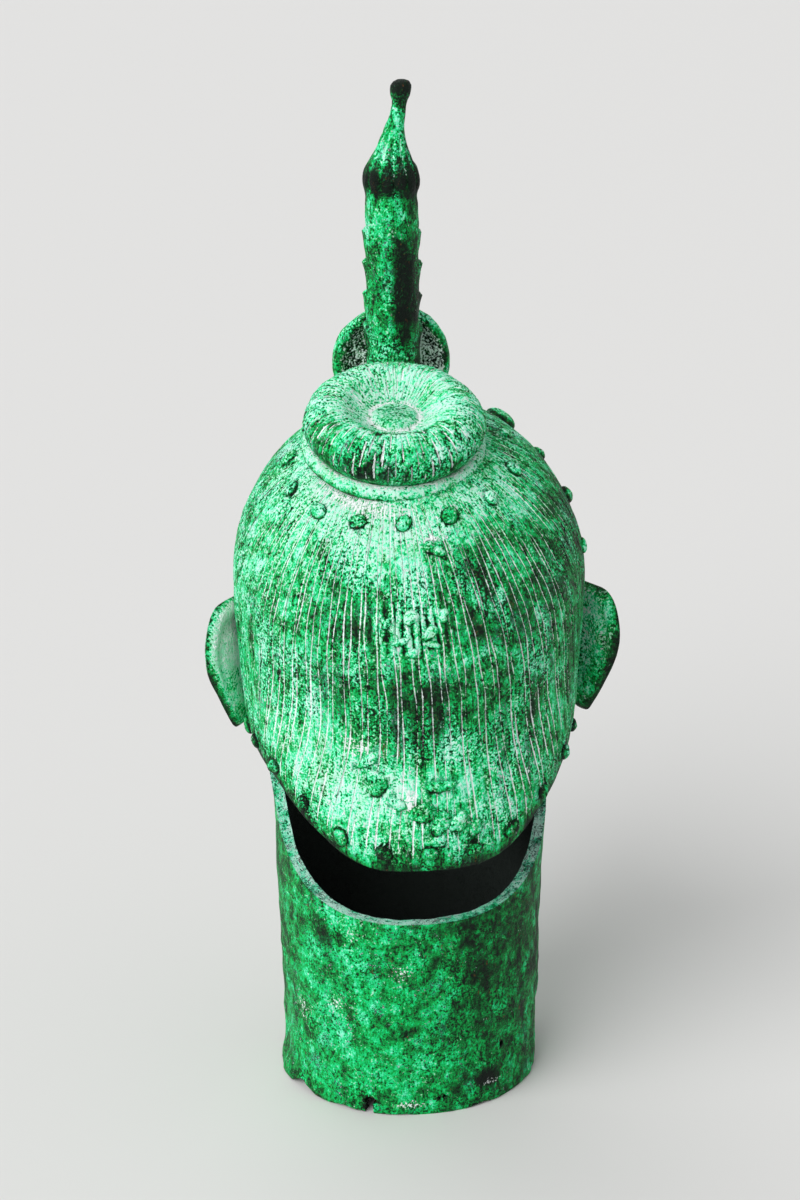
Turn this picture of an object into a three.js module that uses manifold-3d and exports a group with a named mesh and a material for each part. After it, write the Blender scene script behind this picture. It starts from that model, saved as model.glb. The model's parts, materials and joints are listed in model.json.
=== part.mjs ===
// A hollow cast bronze head on a tall open neck, after the Ife tradition.
// Millimetres, +Z up. The face looks along -Y and the nape along +Y.
// The whole work is one casting, so everything below is joined into one solid.
import * as THREE from 'three';
import { mergeVertices } from 'three/addons/utils/BufferGeometryUtils.js';
import Module from 'manifold-3d';

// Heights, from the flat foot of the neck upwards.
const GROUND = 0;
const NECK_TOP = 150;
const CHIN = 164;
const HAIRLINE = 303;
const HEAD_CENTRE = 273;

// The neck is a slightly tapered open tube.
const NECK_FOOT_RADIUS = 66.5;
const NECK_TOP_RADIUS = 70.2;
const WALL = 5;
const LIP_ANGLE = 100;
const FACE_WALL = 10;

// The face is divided in thirds from chin to hairline, the eyes a little under the brows.
const FACE_THIRD = (HAIRLINE - CHIN) / 3;
const NOSE_BASE = CHIN + FACE_THIRD - 6;
const BROWS = CHIN + 2 * FACE_THIRD - 2;
const EYES = BROWS - 14;
const MOUTH = CHIN + (NOSE_BASE - CHIN) * 0.56;
const EYE_SPACING = 31;
const LIP_HALF_WIDTH = 25.5;

// The hair is a close cap, a dome that leans back, with a brim flaring over the nape.
const HEAD_SHIFT = -1.3;
const DOME = {
  half_width: 87.4, half_depth: 97.5, rise: 88, fall_side: 160, fall_back: 255, lean: 18, low_lean: 4,
};
const CAP_WALL = 6;
const BRIM_WALL = 5;
const NAPE_HEIGHT = 155.5;
const SIDE_HEIGHT = 194;
const BRIM_FLARE = 13;
const BRIM_FLARE_FRONT = 2;
const BRIM_FLARE_REACH = 20;

// The gap under the nape is a broad U cut down into the back of the neck.
const GAP_LOW = 112.5;
const GAP_RISE = 52;
const GAP_POWER = 2.8;
const GAP_HALF_ANGLE = 98;

// The bun is a ring-shaped pad on the back of the crown, over a rounded collar roll.
const BUN = { x: 7.9, y: 28.5, z: 361.5, radius: 43.5, lean: 18 };
const COLLAR = { radius: 40.5, roll: 3.8, drop: 13.5 };
const CROWN_STUDS = 14;
const CROWN_STUD_RING = 54.5;
const CROWN_STUD_SHIFT = -3.7;
const BORDER_STUDS = 27;
const BORDER_STUD_INSET = 4;
const STUD_RADIUS = 4.2;
const STUD_RISE = 2.6;

// Studs and lumps that stand alone: angle from the nape, place down the hair, size.
const LOOSE_STUDS = [[-128, 0.5, 1.7], [-112, 0.53, 1], [-96, 0.56, 1.2], [-84, 0.66, 0.8]];

// The crest is a dished rosette above the forehead with a scaled rod rising behind it.
const ROD = { x: -1, y: -62, low: 318, radius: 13.4, high: 452 };
const SCALE_TIERS = 4;
const SCALE_PITCH = 16;
const SCALE_RISE = 2.2;
const FINIAL = { top: 508, tip_x: -6.3, bulb_radius: 14.4, stem_radius: 3.7, knob_radius: 5.2 };
const ROSETTE = { x: -1.5, y: -78, z: 362, radius: 30.5 };
const WEB = { width: 13, depth: 22, height: 40, behind: 9 };

// The ears stand off the head as curved plates.
const EAR = {
  top: 261, low: 192, reach: 43.5, angle: 35, shift: -3, root_x: 80, root_y: -24, thickness: 5.5,
};
const EAR_LOBE_WIDTH = 0.48;
const EAR_FULLNESS = 0.55;
const EAR_SLANT = 1.6;
const EAR_BEND = 3;

const DEGREE = Math.PI / 180;
const clamp = (value, low = 0, high = 1) => Math.min(high, Math.max(low, value));
const mix = (a, b, t) => a + (b - a) * t;
const smooth = (low, high, value) => {
  const t = clamp((value - low) / (high - low));
  return t * t * (3 - 2 * t);
};
const hill = (distance, reach) => Math.exp(-(distance * distance) / (reach * reach));

// Reads a value at a height from a profile of [height, value] stations, smoothly.
function station(profile, height) {
  const last = profile.length - 1;
  if (height <= profile[0][0]) return profile[0][1];
  if (height >= profile[last][0]) return profile[last][1];
  let i = 0;
  while (height > profile[i + 1][0]) i += 1;
  const [z0, a] = profile[i];
  const [z1, b] = profile[i + 1];
  const slope = (k) => {
    if (k <= 0 || k >= last) return 0;
    return (profile[k + 1][1] - profile[k - 1][1]) / (profile[k + 1][0] - profile[k - 1][0]);
  };
  const h = z1 - z0;
  const t = (height - z0) / h;
  const t2 = t * t;
  const t3 = t2 * t;
  return (2 * t3 - 3 * t2 + 1) * a + (t3 - 2 * t2 + t) * h * slope(i)
    + (3 * t2 - 2 * t3) * b + (t3 - t2) * h * slope(i + 1);
}

// A closed skin with the connections of a sphere: place(u, row) gives each vertex,
// with u running once round anticlockwise seen from above, and row from top pole to bottom pole.
function skin(columns, rows, place) {
  const geometry = new THREE.SphereGeometry(1, columns, rows);
  const position = geometry.attributes.position;
  for (let row = 0; row <= rows; row += 1) {
    for (let column = 0; column <= columns; column += 1) {
      const point = place((column % columns) / columns, row);
      position.setXYZ(row * (columns + 1) + column, point.x, point.y, point.z);
    }
  }
  return geometry;
}

const wasm = await Module();
wasm.setup();

// Turns a closed three.js geometry into a solid that can be joined and cut.
function solid(geometry, matrix = new THREE.Matrix4()) {
  const bare = geometry.clone().applyMatrix4(matrix);
  bare.deleteAttribute('normal');
  bare.deleteAttribute('uv');
  const merged = mergeVertices(bare, 1e-3);
  return new wasm.Manifold(new wasm.Mesh({
    numProp: 3,
    vertProperties: new Float32Array(merged.attributes.position.array),
    triVerts: new Uint32Array(merged.index.array),
  }));
}

// A matrix that stands a shape's own +Z along a direction at a point.
function standing(point, direction) {
  const turn = new THREE.Quaternion().setFromUnitVectors(new THREE.Vector3(0, 0, 1), direction);
  return new THREE.Matrix4().compose(point, turn, new THREE.Vector3(1, 1, 1));
}

// Horizontal sections of the head under the hair: how far it reaches to the front,
// to each side and to the back of the neck axis at each height.
const FRONT_REACH = [
  [GROUND, NECK_FOOT_RADIUS], [110, 69], [132, 70], [142, 74], [150, 84], [156, 92.5],
  [CHIN, 98], [174, 98.5], [MOUTH, 98.5], [NOSE_BASE, 98.5], [225, 97], [EYES, 95.5],
  [BROWS, 96.5], [275, 95.5], [292, 93], [HAIRLINE, 90.5], [320, 78], [340, 52],
];
const SIDE_REACH = [
  [GROUND, NECK_FOOT_RADIUS], [110, 69], [NECK_TOP, NECK_TOP_RADIUS], [CHIN, 72], [180, 75],
  [215, 80], [245, 82], [285, 81], [HAIRLINE, 76], [320, 66], [340, 44],
];
const BACK_REACH = [[GROUND, NECK_FOOT_RADIUS - 1.5], [110, 69], [NECK_TOP, NECK_TOP_RADIUS], [340, 60]];
const SECTION_FULLNESS = 2.15;

// A point on a horizontal section, with the angle measured from the face round to the nape.
function section(angle, height, inset_front = 0, inset_side = 0) {
  const power = 2 / SECTION_FULLNESS;
  const across = Math.sign(Math.sin(angle)) * Math.abs(Math.sin(angle)) ** power;
  const along = Math.sign(Math.cos(angle)) * Math.abs(Math.cos(angle)) ** power;
  const reach = along > 0 ? station(FRONT_REACH, height) - inset_front
    : station(BACK_REACH, height) - inset_side;
  const shift = HEAD_SHIFT * smooth(105, 175, height);
  return new THREE.Vector3(
    shift + across * (station(SIDE_REACH, height) - inset_side), -along * reach, height);
}

// Relief of a calm, plain face: millimetres forward of the section at x and height z.
function face_relief(x, z) {
  const side = Math.abs(x);
  return eye_relief(side, z) + nose_relief(side, z) + mouth_relief(side, z)
    + 3.2 * hill(side - 45, 17) * hill(z - EYES + 27, 17);
}

// A socket under an arched brow, with the almond of the lids in it.
function eye_relief(side, z) {
  const over_brow = z - (BROWS + 5 - 0.0085 * (side - 27) ** 2);
  const brow = hill(over_brow, over_brow > 0 ? 8 : 4.5) * smooth(3, 13, side) * (1 - smooth(46, 60, side));
  const lids = 1 - ((side - EYE_SPACING) / 18.5) ** 2 - ((z - EYES) / (z > EYES ? 13 : 10)) ** 2;
  return 2.4 * brow + 6.8 * Math.max(0, lids) ** 0.85
    - 6 * hill(side - 28, 19) * hill(z - EYES - 1, 12.5) - 2.5 * hill(side - 14, 6) * hill(z - EYES - 5, 8);
}

// The nose widens downwards from the bridge to the wings of the nostrils.
function nose_relief(side, z) {
  const down = clamp((BROWS + 2 - z) / (BROWS - 2 - NOSE_BASE));
  const half = 6.4 + 3.8 * down ** 1.8 + 1.6 * hill(z - NOSE_BASE - 7, 8);
  const ends = smooth(NOSE_BASE - 3.5, NOSE_BASE + 2.5, z) * (1 - 0.9 * smooth(BROWS - 8, BROWS + 12, z));
  return mix(5, 20.5, down ** 1.25) * Math.exp(-((side / half) ** 2.4)) * ends
    + 2.6 * hill(side, 8) * hill(z - NOSE_BASE - 8, 7.5)
    + 8.5 * hill(side - 14.2, 5.2) * hill(z - NOSE_BASE - 6.2, 6.6);
}

// Full lips on a low mound, with the fold and the ball of the chin under them.
function mouth_relief(side, z) {
  const out = clamp(side / LIP_HALF_WIDTH);
  const line = MOUTH + 0.6 - 1.6 * out ** 2;
  const upper = clamp((z - line) / (8.2 * (1 - out ** 2.2) ** 0.9 + 0.3));
  const lower = clamp((line - z) / (9.4 * (1 - out ** 2.4) ** 0.8 + 0.3));
  const ends = 1 - smooth(0.86, 1, out);
  return 4.2 * hill(side, 30) * hill(z - MOUTH, 17)
    + ends * (3.9 * Math.sin(Math.PI * upper ** 0.8) + 4.8 * Math.sin(Math.PI * lower ** 0.8))
    - 1.8 * hill(z - line, 1.1) * (1 - smooth(22, 28, side))
    - 2.6 * hill(side, 17) * hill(z - MOUTH + 15.5, 4.2) + 5.2 * hill(side, 17) * hill(z - CHIN - 5, 10.5);
}

// Heights of the rows of vertices: close together over the face, far apart on the neck.
function row_heights(bands) {
  const heights = [bands[0][0]];
  for (let i = 1; i < bands.length; i += 1) {
    const [top, rows] = bands[i];
    const from = bands[i - 1][0];
    for (let k = 1; k <= rows; k += 1) heights.push(mix(from, top, k / rows));
  }
  return heights;
}

// Neck and face in one, closed at the foot and under the hair.
function neck_and_face() {
  const columns = 52;
  const heights = row_heights([
    [GROUND, 0], [7, 1], [140, 3], [CHIN, 4], [NOSE_BASE, 10], [BROWS + 4, 10], [HAIRLINE, 3], [330, 1],
  ]);
  heights.reverse();
  const rows = heights.length + 1;
  return skin(columns, rows, (u, row) => {
    if (row === 0) return new THREE.Vector3(HEAD_SHIFT, 0, 338);
    if (row === rows) return new THREE.Vector3(0, 0, GROUND);
    const height = heights[row - 1];
    const s = 2 * u - 1;
    const angle = Math.PI * (0.36 * s + 0.64 * s ** 3);
    const point = section(angle, height);
    const forward = Math.max(0, Math.cos(angle)) ** 0.7;
    point.y -= face_relief(point.x - HEAD_SHIFT, height) * forward * smooth(148, 158, height);
    const foot = (0.8 + 3.4 * hill(angle - LIP_ANGLE * DEGREE, 0.28)) * hill(height, 9);
    point.x *= 1 + foot / NECK_FOOT_RADIUS;
    point.y *= 1 + foot / NECK_FOOT_RADIUS;
    return point;
  });
}

// Hollow of the neck and face, running out through the open foot.
function neck_hollow() {
  const heights = row_heights([[-6, 0], [120, 2], [145, 2], [CHIN, 2], [260, 4], [HAIRLINE, 2], [325, 1]]);
  heights.reverse();
  const rows = heights.length + 1;
  return skin(26, rows, (u, row) => {
    if (row === 0) return new THREE.Vector3(HEAD_SHIFT, 0, 326);
    if (row === rows) return new THREE.Vector3(0, 0, heights[rows - 2]);
    const height = heights[row - 1];
    const inset = mix(WALL, FACE_WALL, smooth(140, 175, height) * (1 - smooth(275, 300, height) * 0.5));
    return section(Math.PI * (2 * u - 1), Math.max(GROUND, height), inset, WALL + 0.6).setZ(height);
  });
}

const CUTTER_TOP = 348;

// Height of the cut edge of the neck, by the angle from the nape in degrees.
function gap_height(from_nape) {
  const within = GAP_LOW + GAP_RISE * (from_nape / 90) ** GAP_POWER;
  const clear_of_face = smooth(GAP_HALF_ANGLE, GAP_HALF_ANGLE + 14, from_nape);
  return from_nape <= GAP_HALF_ANGLE ? within : mix(within, CUTTER_TOP - 3, clear_of_face);
}

// Everything over the U-shaped edge of the neck, which the hair cap then closes.
function nape_cutter() {
  const columns = 56;
  const top = CUTTER_TOP;
  return skin(columns, 4, (u, row) => {
    if (row === 0) return new THREE.Vector3(0, 0, top);
    if (row === 4) return new THREE.Vector3(0, 0, 220);
    const turn = 360 * u;
    const from_nape = Math.abs(((turn + 90) % 360) - 180);
    const reach = row === 3 ? 52 : 115;
    const height = row === 1 ? top : Math.min(top - 2, gap_height(from_nape));
    return new THREE.Vector3(reach * Math.cos(turn * DEGREE), reach * Math.sin(turn * DEGREE), height);
  });
}

// The plane over which the face's own wall ends, hidden inside the hair cap.
function crown_cutter() {
  const rise = 0.5;
  const box = new THREE.BoxGeometry(260, 320, 160);
  box.translate(0, 0, 80);
  const up = new THREE.Vector3(0, rise, 1).normalize();
  return solid(box, standing(new THREE.Vector3(0, -95, 316), up));
}

// Height of the lower border of the hair, by the angle from the nape in degrees.
function border_height(from_nape) {
  return NAPE_HEIGHT + (SIDE_HEIGHT - NAPE_HEIGHT) * smooth(14, 66, from_nape)
    + (HAIRLINE - SIDE_HEIGHT) * smooth(92, 165, from_nape);
}

// Maps a direction on the unit sphere to the dome of the hair.
// The sphere's own x is the side, y the back and z the crown.
function dome_point(direction) {
  const turn = Math.hypot(direction.x, direction.y);
  const toward_back = turn > 0 ? Math.max(0, direction.y / turn) : 0;
  const fall = mix(DOME.fall_side, DOME.fall_back, toward_back ** 2);
  const up = direction.z * (direction.z > 0 ? DOME.rise : fall);
  const back = direction.y * DOME.half_depth;
  const lean = DOME.lean * DEGREE;
  const fall_lean = mix(DOME.low_lean, DOME.lean, smooth(-0.35, 0.35, direction.z)) * DEGREE;
  return new THREE.Vector3(
    HEAD_SHIFT * smooth(-0.6, 0, direction.z) + direction.x * DOME.half_width,
    back * Math.cos(lean) + up * Math.sin(fall_lean),
    HEAD_CENTRE - back * Math.sin(lean) + up * Math.cos(fall_lean));
}

// The direction in which a meridian of hair, at an angle from the nape, meets the border.
function border_direction(angle) {
  const height = border_height(Math.abs(angle) / DEGREE);
  let low = 20 * DEGREE;
  let high = 160 * DEGREE;
  let direction;
  for (let i = 0; i < 30; i += 1) {
    const polar = (low + high) / 2;
    direction = new THREE.Vector3(
      Math.sin(polar) * Math.sin(angle), Math.sin(polar) * Math.cos(angle), Math.cos(polar));
    if (dome_point(direction).z > height) low = polar;
    else high = polar;
  }
  return direction;
}

const bun_axis = new THREE.Vector3(0, Math.sin(BUN.lean * DEGREE), Math.cos(BUN.lean * DEGREE));

// The crown of the hair, under the bun, as a direction from the centre of the dome.
const crown_direction = new THREE.Vector3((BUN.x - HEAD_SHIFT) / DOME.half_width, 0, 0);
crown_direction.z = Math.sqrt(1 - crown_direction.lengthSq());

// A point on a meridian of hair: t is 0 at the crown and 1 at the border.
function hair_point(angle, t) {
  const end = border_direction(angle);
  const between = crown_direction.angleTo(end);
  const direction = crown_direction.clone().multiplyScalar(Math.sin((1 - t) * between))
    .addScaledVector(end, Math.sin(t * between)).divideScalar(Math.sin(between));
  const point = dome_point(direction);
  const behind = (1 + Math.cos(angle)) / 2;
  const from_border = (1 - t) * between * DOME.half_depth;
  const flare = mix(BRIM_FLARE_FRONT, BRIM_FLARE, behind ** 4) * hill(from_border, BRIM_FLARE_REACH);
  point.x += flare * Math.sin(angle);
  point.y += flare * Math.cos(angle);
  return point;
}

// The outward normal of the hair at a point on a meridian.
function hair_normal(angle, t) {
  const step = 0.01;
  const at = Math.max(t, 0.02);
  const along = hair_point(angle, Math.min(1, at + step)).sub(hair_point(angle, at - step));
  const across = hair_point(angle + step, at).sub(hair_point(angle - step, at));
  return along.cross(across).normalize().negate();
}

const CAP_COLUMNS = 40;
const CAP_INSIDE_ROWS = 6;

// A point on the inner surface of the hair cap, which thins a little towards the border.
function cap_inside(angle, t, wall_less = 0) {
  const wall = mix(CAP_WALL, BRIM_WALL, t) - wall_less;
  return hair_point(angle, t).addScaledVector(t > 0 ? hair_normal(angle, t) : bun_axis, -wall);
}

// The hair cap is a shell: down the outside, round the border and up the inside.
function hair_cap() {
  const columns = CAP_COLUMNS;
  const outside = 13;
  const inside = CAP_INSIDE_ROWS;
  const rows = outside + 1 + inside;
  return skin(columns, rows, (u, row) => {
    const angle = Math.PI * (1 - 2 * u);
    if (row <= outside) return hair_point(angle, 1 - (1 - row / outside) ** 1.15);
    if (row === outside + 1) {
      const edge = hair_point(angle, 1).addScaledVector(hair_normal(angle, 1), -BRIM_WALL / 2);
      edge.z -= 1.6;
      return edge;
    }
    return cap_inside(angle, (rows - row) / inside);
  });
}

// The room under the cap, which what stands on the cap must not fill.
function cap_room() {
  const rows = CAP_INSIDE_ROWS;
  return skin(CAP_COLUMNS, rows, (u, row) => {
    if (row === rows) return new THREE.Vector3(HEAD_SHIFT, 0, CHIN);
    return cap_inside(Math.PI * (1 - 2 * u), row / rows, 0.5);
  });
}

const bun_place = standing(new THREE.Vector3(BUN.x, BUN.y, BUN.z), bun_axis);

// The bun in profile, as radius and height: a low boss in a wide dimple, then the fat ring,
// closed underneath.
const BUN_PROFILE = [
  [0, 4.8], [8.6, 4.1], [11.8, 2.4], [19, 6], [25, 10.2], [30.5, 11.4], [36.5, 9.6], [41.5, 5],
  [BUN.radius, -1], [41.5, -6.5], [38, -10.5], [41, -16], [40, -23], [0, -25],
];

function bun() {
  const profile = BUN_PROFILE.map(([radius, height]) => new THREE.Vector2(radius, height));
  const ring = new THREE.LatheGeometry(profile.reverse(), 30);
  ring.rotateX(Math.PI / 2);
  return solid(ring, bun_place);
}

function collar() {
  const roll = new THREE.TorusGeometry(COLLAR.radius, COLLAR.roll, 5, 30);
  roll.translate(0, 0, -COLLAR.drop);
  return solid(roll, bun_place);
}

function stud_at(point, normal, size = 1) {
  const dome = new THREE.SphereGeometry(size, 5, 3);
  dome.rotateX(Math.PI / 2);
  dome.scale(STUD_RADIUS, STUD_RADIUS, STUD_RISE);
  return solid(dome, standing(point, normal));
}

// Where the line through a spot on the bun's ring plane, along its axis, meets the hair.
function crown_spot(angle, radius) {
  let t = 0.3;
  const flat = (point) => {
    const away = point.clone().sub(new THREE.Vector3(BUN.x + CROWN_STUD_SHIFT, BUN.y, BUN.z));
    return away.addScaledVector(bun_axis, -away.dot(bun_axis)).length();
  };
  for (let i = 0; i < 12; i += 1) t *= radius / flat(hair_point(angle, t));
  return t;
}

function studs() {
  const made = [];
  for (let i = 0; i < CROWN_STUDS; i += 1) {
    const angle = (i / CROWN_STUDS) * 2 * Math.PI + 0.01;
    const turned = Math.atan2(Math.sin(angle), Math.cos(angle));
    const t = crown_spot(turned, CROWN_STUD_RING);
    made.push(stud_at(hair_point(turned, t), hair_normal(turned, t)));
  }
  for (let i = 0; i < BORDER_STUDS; i += 1) {
    const angle = 2 * Math.PI * (i / BORDER_STUDS);
    const turned = Math.atan2(Math.sin(angle), Math.cos(angle));
    const length = crown_direction.angleTo(border_direction(turned)) * DOME.half_depth;
    const t = 1 - BORDER_STUD_INSET / length;
    made.push(stud_at(hair_point(turned, t), hair_normal(turned, t)));
  }
  for (const [angle, t, size] of LOOSE_STUDS) {
    made.push(stud_at(hair_point(angle * DEGREE, t), hair_normal(angle * DEGREE, t), size));
  }
  return made;
}

// The onion-shaped finial in profile: height over the rod, then radius.
const FINIAL_PROFILE = [
  [3, 13.7], [8, FINIAL.bulb_radius], [13, 13.2], [18, 10.4], [25, 7], [33, 4.9], [43, FINIAL.stem_radius],
];

// The rod with its scales and finial, as stations of height, radius and rise of the scales.
function crest() {
  const stations = [[ROD.low, ROD.radius + 1.2]];
  const first = ROD.high - (SCALE_TIERS + 1) * SCALE_PITCH;
  stations.push([first - 8, ROD.radius + 0.3]);
  for (let tier = 0; tier < SCALE_TIERS; tier += 1) {
    const base = first + tier * SCALE_PITCH + 0.5;
    stations.push([base, ROD.radius, 0]);
    stations.push([base + SCALE_PITCH - 3, ROD.radius, SCALE_RISE]);
  }
  stations.push([ROD.high, ROD.radius - 0.6, 0]);
  for (const [rise, radius] of FINIAL_PROFILE) stations.push([ROD.high + rise, radius, 0]);
  const knob = FINIAL.top - 7;
  stations.push([knob - 3, 4.2, 0], [knob + 2, FINIAL.knob_radius, 0], [FINIAL.top - 1.6, 4.4, 0]);
  stations.reverse();
  const rows = stations.length + 1;
  return skin(14, rows, (u, row) => {
    const index = clamp(row - 1, 0, rows - 2);
    const [height, radius, scale = 0] = stations[index];
    const lean = (FINIAL.tip_x - ROD.x) * smooth(468, FINIAL.top, height);
    if (row === 0) return new THREE.Vector3(FINIAL.tip_x, ROD.y, FINIAL.top);
    if (row === rows) return new THREE.Vector3(ROD.x, ROD.y, ROD.low);
    const turn = 2 * Math.PI * u;
    const forward = smooth(-0.35, 0.05, -Math.sin(turn));
    const reach = radius + scale * forward;
    const x = ROD.x + lean + reach * Math.cos(turn);
    return new THREE.Vector3(x, ROD.y + reach * Math.sin(turn), height);
  });
}

// The rosette faces forward: ringed in front, dished behind, with a rolled rim.
function rosette() {
  const r = ROSETTE.radius;
  const profile = [
    [0, -1.5], [r - 8, -2], [r - 5, -5], [r - 1, -4.5], [r, 0], [r - 1.5, 3.2], [r - 6, 2.5],
    [r - 12, 4.6], [r - 18, 3], [9, 4.5], [7, 7.5], [0, 8.5],
  ].map(([radius, forward]) => new THREE.Vector2(radius, forward));
  const disc = new THREE.LatheGeometry(profile, 22);
  disc.rotateX(Math.PI / 2);
  const forward = new THREE.Vector3(0, -1, 0.06).normalize();
  const place = standing(new THREE.Vector3(ROSETTE.x, ROSETTE.y, ROSETTE.z), forward);
  const web = new THREE.BoxGeometry(WEB.width, WEB.depth, WEB.height);
  web.translate(ROSETTE.x, ROSETTE.y + WEB.behind, ROSETTE.z - WEB.height / 2);
  return solid(disc, place).add(solid(web));
}

// An ear as a thick curved plate: round on top, slanting and tapering to the lobe, hollow in front.
function ear(side) {
  const height = (EAR.top - EAR.low) / 2;
  const middle = (EAR.top + EAR.low) / 2;
  const angle = EAR.angle * DEGREE;
  const across = new THREE.Vector3(side * Math.sin(angle), Math.cos(angle), 0);
  const outward = new THREE.Vector3(side * Math.cos(angle), -Math.sin(angle), 0);
  const rows = 8;
  const columns = 16;
  const geometry = skin(columns, rows, (u, row) => {
    const turn = -2 * Math.PI * u * side;
    const front = row <= rows / 2;
    const r = front ? row / (rows / 2) : (rows - row) / (rows / 2);
    const level = Math.cos(turn);
    const taper = mix(EAR_LOBE_WIDTH, 1, smooth(-1.1, 0.5, level));
    const outline = Math.sign(Math.sin(turn)) * Math.abs(Math.sin(turn)) ** EAR_FULLNESS * taper;
    const p = EAR.reach * 0.5 * (1 + r * outline) - EAR_SLANT * (1 - level) * r;
    const q = middle + r * height * level;
    const rim = 3 * hill(r - 0.85, 0.18) - 2 * hill(r, 0.55);
    const n = front ? rim : -EAR.thickness * Math.sqrt(Math.max(0, 1 - r * r)) * 1.1 - rim * 0.3;
    const bend = EAR_BEND * r * smooth(0, 1, -level);
    return new THREE.Vector3(EAR.shift + side * EAR.root_x, EAR.root_y, q)
      .addScaledVector(across, p).addScaledVector(outward, n - bend);
  });
  return solid(geometry);
}

// Chips and a notch in the foot of the neck, each [angle from +X in degrees, width, height].
const FOOT_CHIPS = [[66, 6, 8.5], [48, 16, 3], [28, 20, 5.5], [116, 14, 2]];

function foot_chips() {
  return FOOT_CHIPS.map(([angle, width, height]) => {
    const wedge = new THREE.CylinderGeometry(0.2, width / 2, height, 5);
    wedge.rotateX(Math.PI / 2);
    wedge.scale(1, 6, 1);
    wedge.rotateZ((angle - 90) * DEGREE);
    const x = NECK_FOOT_RADIUS * Math.cos(angle * DEGREE);
    const y = NECK_FOOT_RADIUS * Math.sin(angle * DEGREE);
    wedge.translate(x, y, height / 2 - 0.4);
    return solid(wedge);
  });
}

function cast_head() {
  let body = solid(neck_and_face()).subtract(solid(neck_hollow()))
    .subtract(solid(nape_cutter())).subtract(crown_cutter());
  const room = solid(cap_room());
  body = body.add(solid(hair_cap()));
  for (const piece of [bun(), solid(crest())]) body = body.add(piece.subtract(room));
  for (const piece of [collar(), ...studs(), rosette(), ear(1), ear(-1)]) body = body.add(piece);
  for (const chip of foot_chips()) body = body.subtract(chip);
  return body;
}

// The finished solid as a plain geometry.
function geometry_of(body) {
  const mesh = body.getMesh();
  const geometry = new THREE.BufferGeometry();
  const points = new Float32Array(mesh.numVert * 3);
  for (let i = 0; i < mesh.numVert; i += 1) {
    for (let k = 0; k < 3; k += 1) points[3 * i + k] = mesh.vertProperties[mesh.numProp * i + k];
  }
  geometry.setAttribute('position', new THREE.BufferAttribute(points, 3));
  geometry.setIndex(new THREE.BufferAttribute(new Uint32Array(mesh.triVerts), 1));
  geometry.computeVertexNormals();
  return geometry;
}

const bronze = new THREE.MeshStandardMaterial({ color: 0x1f9a56, roughness: 0.62, metalness: 0.35 });
const geometry = geometry_of(cast_head());

// The origin is under the middle of the casting, on the surface that it stands on.
geometry.computeBoundingBox();
const box = geometry.boundingBox;
geometry.translate(-(box.min.x + box.max.x) / 2, -(box.min.y + box.max.y) / 2, -box.min.z);

const head = new THREE.Mesh(geometry, bronze);
head.name = 'bronze_head';
const part = new THREE.Group();
part.add(head);

export default part;
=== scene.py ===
import json
import math

import bpy
import numpy as np
from mathutils import Matrix, Vector, noise
from mathutils.bvhtree import BVHTree

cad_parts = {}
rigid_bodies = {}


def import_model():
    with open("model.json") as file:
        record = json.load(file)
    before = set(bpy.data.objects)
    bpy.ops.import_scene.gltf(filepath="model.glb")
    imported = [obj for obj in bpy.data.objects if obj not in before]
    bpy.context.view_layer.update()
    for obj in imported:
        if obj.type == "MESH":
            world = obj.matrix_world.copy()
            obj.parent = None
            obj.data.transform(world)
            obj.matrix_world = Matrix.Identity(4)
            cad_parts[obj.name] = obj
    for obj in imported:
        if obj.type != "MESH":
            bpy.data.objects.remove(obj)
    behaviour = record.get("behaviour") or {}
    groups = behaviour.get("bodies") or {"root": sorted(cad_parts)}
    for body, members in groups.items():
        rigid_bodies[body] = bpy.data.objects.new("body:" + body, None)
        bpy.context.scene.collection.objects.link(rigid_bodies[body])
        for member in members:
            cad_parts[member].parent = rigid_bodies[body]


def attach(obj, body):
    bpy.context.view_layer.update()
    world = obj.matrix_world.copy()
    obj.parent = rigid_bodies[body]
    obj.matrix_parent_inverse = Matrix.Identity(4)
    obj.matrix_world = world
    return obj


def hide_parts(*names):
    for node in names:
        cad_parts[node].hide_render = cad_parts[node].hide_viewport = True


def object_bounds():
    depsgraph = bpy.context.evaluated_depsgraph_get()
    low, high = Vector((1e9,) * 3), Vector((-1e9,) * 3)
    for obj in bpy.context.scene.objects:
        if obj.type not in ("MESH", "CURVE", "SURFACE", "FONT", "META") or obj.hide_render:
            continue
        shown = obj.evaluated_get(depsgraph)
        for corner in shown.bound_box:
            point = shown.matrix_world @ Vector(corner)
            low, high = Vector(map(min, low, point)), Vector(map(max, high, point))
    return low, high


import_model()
cad_low, cad_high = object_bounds()
bpy.ops.object.select_all(action="DESELECT")

# Neck and face. In the real work they are one wall of leaded bronze about 5 mm thick, cast round a clay core.
# The skin starts as a sphere whose rows become level sections from the crown down to the foot, and the face
# is raised on it as relief. Sizes are millimetres from the neck's axis, with -Y the way the face looks.
MM = 0.001
NECK_AXIS = np.array([3.0, 11.835, 0.0])
CHIN, HAIRLINE = 164.0, 303.0
NECK_FOOT_RADIUS, NECK_TOP_RADIUS, NECK_TOP = 66.5, 70.2, 150.0
HEAD_SHIFT = -1.3
SECTION_SQUARENESS = 2.15
FACE_THIRD = (HAIRLINE - CHIN) / 3
NOSE_BASE = CHIN + FACE_THIRD - 6
BROWS = CHIN + 2 * FACE_THIRD - 2
EYES = BROWS - 14
MOUTH = CHIN + (NOSE_BASE - CHIN) * 0.56
EYE_SPACING, LIP_HALF_WIDTH = 31.0, 25.5
BROW_RISE, EYEBALL_RISE, SOCKET_DEPTH, LID_DEPTH, CHEEK_RISE = 2.4, 6.8, 6.0, 1.5, 3.2
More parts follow.
